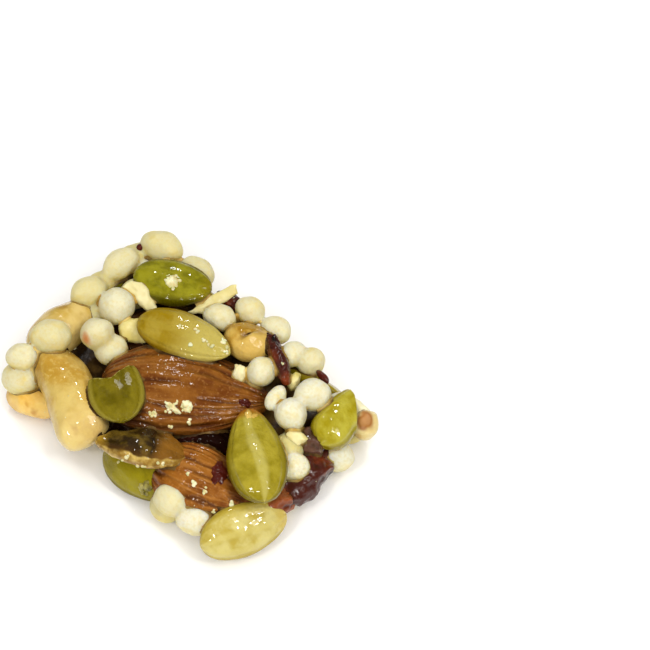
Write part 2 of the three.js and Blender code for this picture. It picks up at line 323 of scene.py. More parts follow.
def lying(at, turn, size, look="", **more):  # where the middle is, the turn, the size and the look
    return {"at": at, "turn": turn, "size": size, "look": look, **more}


def kernelMatrix(place):
    return placeMatrix(place["at"], place["turn"], place.get("roll", 0))


almondShape = {"sides": 220, "rings": 110, "taper": 0.14, "tip": 0.06, "point": 0.14, "full": 1.05,
               "stretch": (0.9, 1.7, 1.7), "furrows": 11, "furrow": 0.24, "furrowSpan": (-0.6, 0.5),
               "furrowRate": (1.2, 2.4, 2.4), "wander": 2.4, "waver": 0.7, "waverRate": (4, 2, 2),
               "fine": 0.06, "fineRate": (3, 7, 7), "endFade": 3, "lump": 0.3, "lumpRate": 0.16}
almonds = {
    "almond_1": lying((0.2, -1.3, 7.1), 36, (24.8, 15.2, 8.2), seed=3, deep=0.25),
    "almond_2": lying((13.0, -9.5, 5.5), 16, (17.8, 10.4, 7.4), roll=12, seed=8),
    "almond_3": lying((-12.2, 4.8, 3.0), 62, (18.5, 10.8, 7.0), seed=13),
}


def almondKernel(name, place, material):
    shape, size, seed = almondShape, place["size"], place["seed"]
    along, around, faces = ballGrid(shape)
    points = sectionPoints(along, around, size, tapered(along, shape))
    lines = np.stack([along, np.cos(around), np.sin(around)], 1) * shape["stretch"]  # drawn out lengthwise
    phase = shape["furrows"] * around + shape["wander"] * noiseAt(lines, 1.0, seed)
    phase += shape["waver"] * noiseAt(lines, shape["waverRate"], seed + 2)
    depth = smoothStep(*shape["furrowSpan"], noiseAt(lines, shape["furrowRate"], seed + 5))
    furrow = (0.5 + 0.5 * np.cos(2 * phase)) ** 2 * depth
    thin = noiseAt(lines, shape["fineRate"], seed + 7)
    fade = np.clip((1 - along ** 2) * shape["endFade"], 0, 1)
    relief = fade * (shape["fine"] * thin - shape["furrow"] * furrow)
    relief += shape["lump"] * noiseAt(points, shape["lumpRate"], seed + 9)
    points = points + outward(points, size) * relief[:, None]
    layers = {"furrow": furrow, "fibre": thin, "deep": np.full(len(points), place.get("deep", 0.0))}
    placed = placePoints(points, kernelMatrix(place))
    return dress(makeObject(name + "_skin", placed, faces, layers, material), "almond_skin", name)


seedShape = {"sides": 84, "rings": 68, "taper": 0.1, "tip": 0.1, "point": 0.16, "full": 1.08,
             "flatness": 0.84, "groove": 0.13, "grooveAt": 0.84, "grooveWidth": 0.05, "band": 0.05,
             "bands": 8.5, "sway": 0.8, "swayRate": 2.4, "mottle": 0.5, "mottleRate": (0.35, 0.7, 0.7),
             "lump": 0.2, "lumpRate": 0.22, "wrinkle": 0.05, "wrinkleRate": (0.5, 1.4, 1.4),
             "crumpleRate": 0.55, "curl": 0.5, "curlLevel": 0.3, "cupLevel": 0.4}
seedCrack = {"depth": 0.3, "width": 0.035, "sway": 0.06, "swayRate": 4, "span": (0.9, 0.6), "none": 9}
crumbledRim = {"span": (0.76, 0.96), "underside": (-0.5, -0.2), "wander": 0.14, "wanderRate": 0.9,
               "cover": 0.8, "patchRate": 0.5, "fade": 0.5, "fadeSpan": (0.0, 0.8)}
tornEdge = {"lean": 0.25, "ragged": 0.2, "rate": 0.9}
pumpkinSeeds = {
    "pumpkin_seed_1": lying((-13.4, 9.8, 10.0), 29, (11.8, 7.8, 3.6), "deepGreen", blunt=0.7),
    "pumpkin_seed_2": lying((-4.9, 3.8, 10.9), 19, (14.8, 7.0, 3.3), "straw", roll=8, blunt=0.3),
    "pumpkin_seed_3": lying((16.2, -3.2, 10.1), 143, (15.4, 8.2, 4.2), "brownTip", groove=0.22, bands=6.0),
    "pumpkin_seed_4": lying((-6.4, -8.6, 10.5), 147, (12.8, 7.8, 2.9), "shade", cup=0.35,
                            broken=((-4, 1.4), (-3.1, 1.8), (-2, 1.6), (-0.9, 1), (0.3, 0.2), (1.5, 0.5),
                                    (3.7, 1.2), (4, 1.3))),
    "pumpkin_seed_5": lying((20.0, 10.2, 8.4), 99, (10.6, 5.8, 4.4), "bright", roll=14, blunt=0.7,
                            heel=0.28, broken=((-4, -2.2), (0.5, 3.2), (3, 4.8))),
    "pumpkin_seed_6": lying((20.9, -10.7, 4.5), 66, (12.8, 7.4, 3.6), "pale", roll=42, blunt=0.6),
    "pumpkin_seed_7": lying((3.6, -14.2, 4.6), 4, (12.4, 7.6, 3.2), "olive", roll=52),
    "pumpkin_seed_8": lying((2.9, -12.6, 8.6), 211, (12.8, 7.2, 3.2), "toasted", roll=22, blunt=0.25,
                            crumple=0.35, crack=-0.28, rim=0.1),
    "pumpkin_seed_9": lying((-9.6, 13.5, 4.2), 172, (13.6, 7.4, 3.2), "straw", roll=70),
    "pumpkin_seed_10": lying((10.2, 13.5, 4.0), 186, (14.0, 7.4, 3.2), "leaf", roll=66),
    "pumpkin_seed_11": lying((-21.2, 4.4, 4.2), 262, (13.0, 7.6, 3.2), "deepGreen", roll=66),
    "pumpkin_seed_12": lying((-9.5, -6.4, 0.9), 24, (13.6, 7.6, 3.0), "leaf"),
    "pumpkin_seed_13": lying((3.4, 4.6, 0.9), 148, (14.2, 7.4, 3.0), "straw"),
    "pumpkin_seed_14": lying((14.8, 3.2, 0.9), 64, (12.8, 7.2, 3.0), "deepGreen"),
}


def breakTip(points, line):  # what lies past the broken edge is drawn back onto it
    across, edge = zip(*line)
    face = np.interp(points[:, 1], across, edge) + tornEdge["lean"] * points[:, 2]
    face += tornEdge["ragged"] * noiseAt(points * (0, 1, 1), tornEdge["rate"], 4)
    past = points[:, 0] > face
    points[past, 0] = face[past]
    return past.astype(float)


def rimShare(points, along, across, rise, number):  # a pale crumbled edge on one side
    rim = crumbledRim
    edge = across + rim["wander"] * noiseAt(points, rim["wanderRate"], number + 5)
    share = smoothStep(*rim["span"], edge) * smoothStep(*rim["underside"], rise)
    patches = np.clip(rim["cover"] + noiseAt(points, rim["patchRate"], number + 2), 0.0, 1.0)
    return share * (patches * (1 - rim["fade"] * smoothStep(*rim["fadeSpan"], along)))


def crackShare(along, across, where):
    line = along - where + seedCrack["sway"] * np.sin(seedCrack["swayRate"] * across)
    return np.exp(-(line / seedCrack["width"]) ** 2) * smoothStep(*seedCrack["span"], across)


def seedKernel(name, place, material, number):
    shape, size = seedShape, place["size"]
    along, around, faces = ballGrid(shape)
    across, rise = np.cos(around), np.sin(around)
    margin = np.abs(across)
    blunt = place.get("blunt", 0.0)
    heel = 1 + place.get("heel", 0.0) * smoothStep(-0.1, -0.8, along)
    profile = ((1 - blunt) * tapered(along, shape) + blunt) * heel
    points = sectionPoints(along, around, size, profile, shape["flatness"])
    sway = shape["sway"] * np.sin(shape["swayRate"] * along + number)
    band = np.cos(place.get("bands", shape["bands"]) * across + sway) * (1 - margin ** 2)
    band += shape["mottle"] * noiseAt(points, shape["mottleRate"], number + 8)
    groove = np.exp(-((margin - shape["grooveAt"]) / shape["grooveWidth"]) ** 2) * (1 - along ** 6)
    rim = rimShare(points, along, across, rise, number)
    crack = crackShare(along, across, place.get("crack", seedCrack["none"]))  # none lies far past the tip
    relief = shape["band"] * band - place.get("groove", shape["groove"]) * groove
    relief += shape["lump"] * noiseAt(points, shape["lumpRate"], number)
    relief += shape["wrinkle"] * noiseAt(points, shape["wrinkleRate"], number + 3)
    relief += place.get("crumple", 0) * noiseAt(points, shape["crumpleRate"], number + 6)
    relief += place.get("rim", 0) * rim
    relief -= seedCrack["depth"] * crack
    points = points + outward(points, size) * relief[:, None]
    points[:, 2] += shape["curl"] * (draw(number) - 0.5) * (along ** 2 - shape["curlLevel"])
    points[:, 2] += place.get("cup", 0) * (margin ** 2 - shape["cupLevel"])
    torn = breakTip(points, place["broken"]) if "broken" in place else np.zeros(len(points))
    layers = {"along": along, "across": across, "margin": margin, "band": band, "torn": torn,
              "crack": crack, "rim": rim, "rise": rise}
    placed = placePoints(points, kernelMatrix(place))
    return dress(makeObject(name + "_kernel", placed, faces, layers, material), "pumpkin_seed", name)


nutShape = {"sides": 90, "rings": 70, "profile": (1, 0, 0.1), "facets": 16, "softness": 14.0, "facet": 0.6,
            "planeAway": 0.92, "planeMore": 0.16, "leastSlope": 0.08, "most": 1.1,
            "lump": 0.22, "lumpRate": 0.3}
nutFold = {"along": 0.46, "across": 0.89, "reach": 0.4, "topSpan": (0.1, 0.4), "width": 0.1, "lip": 0.5,
           "lipAway": 0.26, "lipWidth": 0.16, "ripple": 0.12, "rippleRate": 2.6, "lobeSpan": (0.05, -0.4)}
nutSpot = {"span": (2.0, 0.7), "ragged": 0.3, "raggedRate": 0.9, "none": (0, 0, 99)}
nuts = {  # a profile is the width at the middle, the lean to one end and the swell of both ends
    "cashew_1": lying((-11.3, -13.3, 6.9), -24, (17.4, 8.8, 8.2), "honey", profile=(0.84, 0.1, 0.52),
                      bend=0.06, facet=0.5),
    "peanut_1": lying((1.5, 10.2, 8.7), 20, (7.0, 5.6, 5.0), "toffee", fold=0.45),
    "peanut_2": lying((-20.8, -6.0, 7.2), 86, (11.2, 6.4, 6.4), "cream"),
    "peanut_3": lying((-17.2, -15.0, 2.5), 24, (8.4, 5.4, 4.4), "gold"),
    "peanut_4": lying((0.6, 12.6, 3.2), 170, (9.2, 6.4, 5.6), "honey"),
    "peanut_5": lying((-20.4, -5.6, 2.7), 100, (9.0, 6.4, 5.0), "cream"),
    "peanut_6": lying((22.3, 12.9, 5.9), 43, (3.8, 3.8, 5.2), "pith", spot=(22.5, 12.5, 7.7)),
    "peanut_7": lying((5.6, -8.0, 1.9), -30, (9.6, 6.6, 4.8), "honey"),
}


def facetRadius(directions, seed):  # a soft many-sided ball: the nearest of several planes
    shape = nutShape
    count = range(shape["facets"])
    planes = np.array([[draw(seed * 31 + 3 * k + i) - 0.5 for i in range(3)] for k in count])
    planes /= np.linalg.norm(planes, axis=1, keepdims=True)
    away = np.array([shape["planeAway"] + shape["planeMore"] * draw(seed * 57 + k) for k in count])
    reach = away / np.maximum(directions @ planes.T, shape["leastSlope"])
    sharp = shape["softness"]
    return np.minimum(-np.log(np.exp(-sharp * reach).sum(1)) / sharp, shape["most"])


def nutKernel(name, place, material, number):
    along, around, faces = ballGrid(nutShape)
    size, crease = place["size"], nutFold
    middle, lean, ends = place.get("profile", nutShape["profile"])
    points = sectionPoints(along, around, size, middle + lean * along + ends * along * along)
    ball = unitBall(along, around)
    facet = place.get("facet", nutShape["facet"])
    points = points * (1 + facet * (facetRadius(ball, number) - 1))[:, None]
    ripple = crease["ripple"] * noiseAt(ball, crease["rippleRate"], number)
    run = crease["along"] * ball[:, 0] + crease["across"] * ball[:, 1]
    side = crease["along"] * ball[:, 1] - crease["across"] * ball[:, 0] + ripple
    near = np.exp(-(run / crease["reach"]) ** 2) * smoothStep(*crease["topSpan"], ball[:, 2])
    fold = np.exp(-(side / crease["width"]) ** 2) * near
    lip = np.exp(-((side + crease["lipAway"]) / crease["lipWidth"]) ** 2) * near
    relief = nutShape["lump"] * noiseAt(points, nutShape["lumpRate"], number)
    relief = relief + place.get("fold", 0) * (crease["lip"] * lip - fold)
    points = points + outward(points, size) * relief[:, None]
    points[:, 1] += place.get("bend", 0) * size[0] * (0.5 - along ** 2)
    placed = placePoints(points, kernelMatrix(place))
    folded = float("fold" in place)
    away = np.linalg.norm(placed - place.get("spot", nutSpot["none"]), axis=1)  # none is far above the bar
    away += nutSpot["ragged"] * noiseAt(placed, nutSpot["raggedRate"], number)
    layers = {"along": along, "fold": folded * fold, "spot": smoothStep(*nutSpot["span"], away),
              "lobe": folded * smoothStep(*crease["lobeSpan"], side + 2 * ripple)}
    return dress(makeObject(name + "_kernel", placed, faces, layers, material), "nut_flesh", name)


berryShape = {"sides": 110, "rings": 84, "fold": 0.065, "foldWaves": ((5.2, 3.1), (6.3, 4.4, 1.7)),
              "bend": 0.5, "bendRate": 0.3, "drawnOut": (0.6, 1, 1), "steep": 2.2, "level": 0.6,
              "wrinkle": 0.4, "wrinkleRate": 0.34, "crease": 0.2, "creaseRate": 0.75, "fullWidth": 5,
              "leastEnd": 0.02}
cranberries = {
    "cranberry_1": lying((6.9, 10.8, 9.9), 151, (8.8, 2.9, 2.8), "red", slim=0.8, taper=0.1, blunt=0.4),
    "cranberry_2": lying((21.0, 0.9, 4.6), 87, (11.2, 6.0, 5.0), "red", roll=20),
    # cranberry_3 and cranberry_8 take the near-black deep finish: painted shade, so that they read as the
    # dark gaps they sit in
    "cranberry_3": lying((6.9, -4.7, 4.8), 40, (11.0, 5.2, 4.6), "deep"),
    # cranberry_4: partly its own grey-brown, partly painted shade for the dark shadow beside it
    "cranberry_4": lying((19.0, 4.9, 7.4), 20, (5.0, 3.8, 3.4), "dusky"),
    "cranberry_5": lying((-18.8, 12.6, 4.0), 150, (8.4, 5.4, 4.6), "red"),
    "cranberry_6": lying((-6.4, 14.2, 7.6), 176, (4.6, 2.8, 2.4), "red"),
    "cranberry_7": lying((-21.8, -2.4, 7.2), 262, (5.4, 3.4, 3.0), "red"),
    "cranberry_8": lying((-2.4, -12.4, 5.0), 8, (5.6, 4.6, 4.8), "deep"),
    "cranberry_9": lying((-3.4, -4.8, 1.2), 100, (7.4, 4.8, 3.4), "red"),
    "cranberry_end": lying((21.3, -4.6, 4.9), 60, (5.6, 4.0, 4.2), "amber", extra=True),  # has no node
}


def ridges(points, rate, seed):  # sharp crests where the noise passes zero
    return 1 - berryShape["steep"] * np.abs(noiseAt(points, rate, seed))


def cranberryKernel(name, place, material, number):
    shape = berryShape
    along, around, faces = ballGrid(shape)
    ball = unitBall(along, around)
    x, y, z = ball.T
    (alongX, alongY), (acrossY, acrossZ, ahead) = shape["foldWaves"]
    folds = np.sin(alongX * x + alongY * y) + np.sin(acrossY * y - acrossZ * z + ahead)
    size = np.asarray(place["size"]) * (1, place.get("slim", 1), 1)
    points = ball * (1 + shape["fold"] * folds)[:, None] * size / 2
    blunted = np.clip(1 - along ** 2, shape["leastEnd"], 1) ** (-0.5 * place.get("blunt", 0))
    points[:, 1:] *= ((1 - place.get("taper", 0) * along) * blunted)[:, None]
    small = min(1.0, size[1] / shape["fullWidth"])
    bends = np.stack([noiseAt(points, shape["bendRate"], number + k) for k in (11, 12, 13)], 1)
    bent = points + shape["bend"] * bends
    ridge = ridges(bent * shape["drawnOut"], shape["wrinkleRate"] / small, number)
    crease = ridges(bent, shape["creaseRate"] / small, number + 4)
    level = shape["level"]
    relief = small * (shape["wrinkle"] * (ridge - level) + shape["crease"] * (crease - level))
    points = points + outward(points, size) * relief[:, None]
    layers = {"ridge": ridge + 0.5 * crease, "along": along}
    piece = makeObject(name + "_fruit", placePoints(points, kernelMatrix(place)), faces, layers, material)
    return dress(piece, "dried_cranberry", *([] if "extra" in place else [name]))


# finishes


def almondSkin():
    shader = Shader("almondSkin")
    shader.ground(shader.patches(0.3, 4, 0.36, 0.66), "#6b3606", "#8f5718")
    shader.over(shader.share("fibre", 0.0, 0.6, 0.6), "#a56d2c")
    shader.over(shader.share("furrow", 0.15, 0.95, 0.75), "#421d05")
    shader.over(shader.patches(2.4, 3, 0.55, 0.7, 0.5), "#a8733a")
    shader.over(shader.attribute("deep"), "#3a1b04")
    # painted shade: darker brown where little of the sky is open, at contacts and under neighbouring pieces
    shader.over(shader.share("open", 0.8, 0.3, 0.8), "#2e1405")
    shader.rough(1.6, 0.3, 0.55)
    shader.bump((shader.attribute("fibre"), 0.08), (shader.grain(1.3, 3), 0.16),
                (shader.grain(5.0, 2), 0.04))
    shader.ripple(shader.grain(1.2, 2), 0.14)
    return shader.finish(Coat_Weight=0.5, Coat_Roughness=0.05, Specular_IOR_Level=0.08)


def seedLook(body, light, band, edge, tip, **more):
    return {"body": body, "light": light, "band": band, "edge": edge, "tip": tip, **more}


seedLooks = {
    "deepGreen": seedLook("#6c6705", "#8f891a", "#847d0e", "#4c4600", "#7c700a"),
    "straw": seedLook("#8f7408", "#a38c30", "#9c8628", "#7f6406", "#b3a250", tipFrom=-0.35, tipTo=0.55),
    "brownTip": seedLook("#867812", "#a0912a", "#b8ac5a", "#6c5e04", "#9c6212", tipFrom=0.66, tipTo=0.92),
    "shade": seedLook("#574c04", "#756812", "#6a5d0c", "#85782a", "#63550a", wave=0.02, wet=0.08),
    "leaf": seedLook("#95820c", "#a3901c", "#a08c1a", "#786808", "#98861c"),
    "olive": seedLook("#7e7208", "#938714", "#8d8016", "#645908", "#8c801a", wet=0.3),
    "bright": seedLook("#978810", "#b0a63a", "#a4982a", "#807208", "#aca04a"),
    "speckled": seedLook("#2c2606", "#b0a458", "#6b6120", "#3f3709", "#6b6120"),
    "pale": seedLook("#b09c42", "#c9bc74", "#c4b566", "#a48f30", "#c4ad58"),
}


def seedSkin(look, colours):
    shader = Shader("pumpkinSeedSkin." + look)
    shader.ground(shader.patches(0.34, 3, 0.38, 0.64), colours["body"], colours["light"])
    shader.over(shader.share("band", -0.2, 1.1, 0.7), colours["band"])
    shader.over(shader.patches(0.8, 4, 0.5, 0.7, 0.5), colours["light"])
    shader.over(shader.share("margin", 0.76, 0.97), colours["edge"])
    tip = shader.share("along", colours.get("tipFrom", 0.6), colours.get("tipTo", 0.95))
    shader.over(tip, colours["tip"])
    shader.over(shader.attribute("torn"), "#b8ab55")
    shader.rough(1.3, 0.24, 0.42)
    shader.bump((shader.grain(0.9, 3), 0.26), (shader.grain(2.6, 3), 0.08))
    shader.ripple(shader.grain(0.7, 1), colours.get("wave", 0.2))
    return shader.finish(Coat_Weight=colours.get("wet", 0.65), Coat_Roughness=0.04, Specular_IOR_Level=0.05,
                         Subsurface_Weight=0.2, Subsurface_Scale=0.7 * mm, Subsurface_Radius=(1.0, 0.9, 0.3))


def toastedSeedSkin():  # dark hull with a pale rim along its near edge
    shader = Shader("toastedSeedSkin")
    shader.ground(shader.patches(0.5, 4, 0.42, 0.66), "#2c1e08", "#66501a")
    shader.over(shader.share("along", -0.24, -0.6), "#7d5316")
    shader.over(shader.share("along", 0.66, 0.92), "#a07c22")
    shader.over(shader.share("across", 0.4, 0.9, 0.4), "#5c3a10")
    pale = shader.mix(shader.patches(0.9, 4, 0.36, 0.66), "#886623", "#c4a658")
    shader.over(shader.share("rim", 0.05, 0.6), pale)
    shader.over(shader.share("rise", 0.0, -0.2), pale)
    shader.over(shader.attribute("crack"), "#1a0f04")
    shader.rough(1.3, 0.22, 0.42)
    shader.bump((shader.grain(0.9, 3), 0.3), (shader.grain(2.6, 3), 0.08))
    shader.ripple(shader.grain(0.7, 1), 0.2)
    return shader.finish(Coat_Weight=0.65, Coat_Roughness=0.04, Specular_IOR_Level=0.05)


nutLooks = {
    "honey": {"body": "#ba9438", "light": "#d2b869", "warm": "#a47720", "fold": "#9a6a22", "end": "#dcc689"},
    "gold": {"body": "#d9a844", "light": "#e9c670", "warm": "#bf842a", "fold": "#9a6a22"},
    "cream": {"body": "#bd9d48", "light": "#d0b66f", "warm": "#ab8638", "fold": "#a87d38"},
    "pith": {"body": "#d6be76", "light": "#e6d69e", "warm": "#c7a556", "fold": "#a87d38"},
    "toffee": {"body": "#a2781e", "light": "#d0ae58", "warm": "#8c6010", "fold": "#6a4814"},
}


def nutFlesh(look, colours):
    shader = Shader("nutFlesh." + look)
    shader.ground(shader.patches(0.24, 3, 0.38, 0.64), colours["body"], colours["light"])
    shader.over(shader.patches(0.33, 2, 0.58, 0.74), colours["warm"])
    if "end" in colours:  # paler towards one end
        shader.over(shader.share("along", 0.4, -0.6, 0.4), colours["warm"])
        shader.over(shader.share("along", 0.1, 0.8, 0.4), colours["end"])
    shader.over(shader.attribute("lobe"), "#c8a654")
    shader.over(shader.attribute("fold"), colours["fold"])
    shader.over(shader.patches(1.5, 3, 0.5, 0.72, 0.5), colours["light"])
    spot = shader.attribute("spot")
    shader.over(shader.between(spot, 0.1, 0.8), "#9a632c")
    shader.over(shader.between(spot, 0.7, 1.0, 0, 0.8), "#b58653")
    shader.rough(1.1, 0.28, 0.48)
    shader.bump((shader.grain(0.7, 2), 0.2), (shader.grain(2.8, 3), 0.05))
    shader.ripple(shader.grain(0.45, 1), 0.4)
    return shader.finish(Coat_Weight=0.7, Coat_Roughness=0.05, Specular_IOR_Level=0.1,
                         Subsurface_Weight=0.2, Subsurface_Scale=0.9 * mm, Subsurface_Radius=(1.0, 0.8, 0.4))


def cranberrySkin(name, deep, red, warm, wet=0.5):
    shader = Shader(name)
    # painted light and shade on the wrinkles: lighter red on the crests, the dark colour in the folds
    # between
    shader.ground(shader.share("ridge", -0.6, 1.2), deep, red)
    shader.over(shader.patches(0.3, 3, 0.5, 0.78), warm)
    shader.over(shader.share("along", -0.7, -1.0), warm)
    shader.rough(1.5, 0.24, 0.48)
    shader.bump((shader.grain(1.6, 3), 0.14))
    shader.ripple(shader.grain(1.2, 2), 0.16)
    return shader.finish(Coat_Weight=wet, Coat_Roughness=0.06, Specular_IOR_Level=0.2 * wet)


def crispPuff():
    shader = Shader("crispPuff")
    # the tone is partly painted light: puffs on the lit side of the bar carry whiter tones
    shader.ground(shader.attribute("puffTone"), "#c9bd7f", "#d9d7c2")
    shader.over(shader.patches(0.4, 3, 0.5, 0.8), "#d2bf76")
    shader.over(shader.patches(2.4, 4, 0.42, 0.68, 0.35), "#cdbb74")
    # painted shade: the sides that face down are tinted a darker yellow
    shader.over(shader.share("lower", 0.2, 1.0, 0.45), "#d6c464")
    # painted shade: a darker warm tint in the crevices, where little of the sky is open
    shader.over(shader.share("open", 0.5, 0.0), "#cbb35e")
    shader.over(shader.attribute("stain"), "#c26c20")
    shader.bump((shader.grain(1.5, 3), 0.12), (shader.grain(5.0, 3), 0.04))
    return shader.finish(Roughness=0.45, Subsurface_Weight=0.9, Subsurface_Scale=2.2 * mm,
                         Subsurface_Radius=(1.0, 0.85, 0.5), Specular_IOR_Level=0.18)


def flakeFlesh():
    shader = Shader("flakeFlesh")
    shader.ground(shader.patches(0.5, 3, 0.35, 0.65), "#c6b562", "#d8cc8c")
    shader.over(shader.share("flakeTone", 0.1, 0.9), "#ebe6c4")
    shader.bump((shader.grain(1.6, 3), 0.08))
    return shader.finish(Roughness=0.45, Subsurface_Weight=0.25, Subsurface_Scale=0.8 * mm,
                         Subsurface_Radius=(1.0, 0.8, 0.4), Coat_Weight=0.15, Coat_Roughness=0.2)


def crumbFlesh():
    shader = Shader("crumbFlesh")
    shader.ground(shader.patches(0.9, 3, 0.35, 0.65), "#c8bb80", "#e4deb4")
    shader.bump((shader.grain(3.0, 3), 0.08))
    return shader.finish(Roughness=0.5, Subsurface_Weight=0.2, Subsurface_Scale=0.5 * mm)


def syrupSkin():
    shader = Shader("syrupSkin")
    brown = shader.mix(shader.patches(0.5, 3, 0.4, 0.65), "#3a2610", "#6a5026")
    # painted shade: near black where little of the sky is open, deep in the gaps, brown where open
    shader.ground(shader.share("open", 0.1, 0.7), "#0e0704", brown)
    pale = shader.mix(shader.patches(0.45, 3, 0.4, 0.65), "#a8853a", "#cdb56c")
    shader.over(shader.attribute("pale"), pale)
    shader.rough(1.2, 0.2, 0.45)
    shader.bump((shader.grain(1.4, 3), 0.1))
    return shader.finish(Coat_Weight=0.06, Coat_Roughness=0.1, Specular_IOR_Level=0.1)


# balls on points, by Geometry Nodes: puffs, crumbs and scraps


class Tree:  # a Geometry Nodes tree with named inputs
    def __init__(self, name):
        self.group = bpy.data.node_groups.new(name, "GeometryNodeTree")
        self.sockets = {}
        self.group.interface.new_socket("Geometry", in_out="INPUT", socket_type="NodeSocketGeometry")
        self.group.interface.new_socket("Geometry", in_out="OUTPUT", socket_type="NodeSocketGeometry")
        self.inlet = self.group.nodes.new("NodeGroupInput")
        self.outlet = self.group.nodes.new("NodeGroupOutput")

    def input(self, name, kind):
        socket = self.group.interface.new_socket(name, in_out="INPUT", socket_type="NodeSocket" + kind)
        self.sockets[name] = socket.identifier
        return self.inlet.outputs[name]

    def node(self, kind, inputs=None, **settings):
        node = self.group.nodes.new(kind)
        for key, value in settings.items():
            setattr(node, key, value)
        for key, value in (inputs or {}).items():
            if isinstance(value, bpy.types.NodeSocket):
                self.group.links.new(value, node.inputs[key])
            else:
                node.inputs[key].default_value = value
        return node

    def math(self, operation, first, second):
        return self.node("ShaderNodeMath", {0: first, 1: second}, operation=operation).outputs[0]

    def named(self, name, kind):
        node = self.node("GeometryNodeInputNamedAttribute", {"Name": name}, data_type=kind)
        return node.outputs["Attribute"]

    def finish(self, geometry):
        self.group.links.new(geometry, self.outlet.inputs["Geometry"])

    def run(self, piece, values):  # sets the inputs, then keeps the result as a plain mesh
        modifier = piece.modifiers.new(self.group.name, "NODES")
        modifier.node_group = self.group
        for name, value in values.items():
            modifier[self.sockets[name]] = value
        return asPlainMesh(piece)


ballSkin = {"lumpDetail": 1.0, "dentRate": 0.55, "dentSoftness": 0.25, "gritRate": 1.5, "gritDetail": 3.0}


def ballTree():  # a lumpy ball on every point, pressed flat on the tray
    tree = Tree("ballsOnPoints")
    detail = tree.input("Ball detail", "Int")
    heights = ("Lump height", "Lumps per mm", "Dent depth", "Grit height", "Tray height")
    lump, lumpRate, dent, grit, tray = (tree.input(name, "Float") for name in heights)
    finish = tree.input("Finish", "Material")
    ball = tree.node("GeometryNodeMeshIcoSphere", {"Radius": 0.5, "Subdivisions": detail})
    turn = tree.node("FunctionNodeEulerToRotation", {"Euler": tree.named("puffTurn", "FLOAT_VECTOR")})
    placed = tree.node("GeometryNodeInstanceOnPoints", {
        "Points": tree.inlet.outputs["Geometry"], "Instance": ball.outputs["Mesh"],
        "Rotation": turn.outputs["Rotation"], "Scale": tree.named("puffSize", "FLOAT_VECTOR")})
    real = tree.node("GeometryNodeRealizeInstances", {"Geometry": placed.outputs["Instances"]})
    position = tree.node("GeometryNodeInputPosition").outputs[0]
    where = tree.node("ShaderNodeVectorMath", {"Vector": position, "Scale": 1 / mm}, operation="SCALE")
    where = where.outputs[0]
    broad = tree.node("ShaderNodeTexNoise", {
        "Vector": where, "Scale": lumpRate, "Detail": ballSkin["lumpDetail"]})
    cells = tree.node("ShaderNodeTexVoronoi", {
        "Vector": where, "Scale": ballSkin["dentRate"], "Smoothness": ballSkin["dentSoftness"]},
        feature="SMOOTH_F1")
    fine = tree.node("ShaderNodeTexNoise", {
        "Vector": where, "Scale": ballSkin["gritRate"], "Detail": ballSkin["gritDetail"]})
    total = 0.0
    for texture, output, height in ((broad, "Fac", lump), (cells, "Distance", dent), (fine, "Fac", grit)):
        centred = tree.math("SUBTRACT", texture.outputs[output], 0.5)
        total = tree.math("ADD", tree.math("MULTIPLY", centred, height), total)
    normal = tree.node("GeometryNodeInputNormal").outputs[0]
    push = tree.node("ShaderNodeVectorMath", {"Vector": normal, "Scale": total}, operation="SCALE")
    shaped = tree.node("GeometryNodeSetPosition", {
        "Geometry": real.outputs["Geometry"], "Offset": push.outputs["Vector"]})
    split = tree.node("ShaderNodeSeparateXYZ", {0: position})
    height = tree.math("MAXIMUM", split.outputs["Z"], tray)
    level = tree.node("ShaderNodeCombineXYZ", {
        "X": split.outputs["X"], "Y": split.outputs["Y"], "Z": height})
    pressed = tree.node("GeometryNodeSetPosition", {
        "Geometry": shaped.outputs["Geometry"], "Position": level.outputs["Vector"]})
    smooth = tree.node("GeometryNodeSetShadeSmooth", {"Geometry": pressed.outputs["Geometry"]})
    coloured = tree.node("GeometryNodeSetMaterial", {
        "Geometry": smooth.outputs["Geometry"], "Material": finish})
    tree.finish(coloured.outputs["Geometry"])
    return tree


def ballsOnPoints(tree, name, balls, values):  # each ball has a place, a size, a turn and a tone
    tones = [ball["tone"] for ball in balls]
    cloud = makeObject(name, [ball["at"] for ball in balls], [], {"puffTone": tones})
    for layer, key, unit in (("puffSize", "size", mm), ("puffTurn", "turn", 1)):
        rows = np.array([ball[key] for ball in balls], np.float32).ravel() * unit
        cloud.data.attributes.new(layer, "FLOAT_VECTOR", "POINT").data.foreach_set("vector", rows)
    piece = tree.run(cloud, values)
    for spent in ("puffSize", "puffTurn"):
        if spent in piece.data.attributes:
            piece.data.attributes.remove(piece.data.attributes[spent])
    return piece


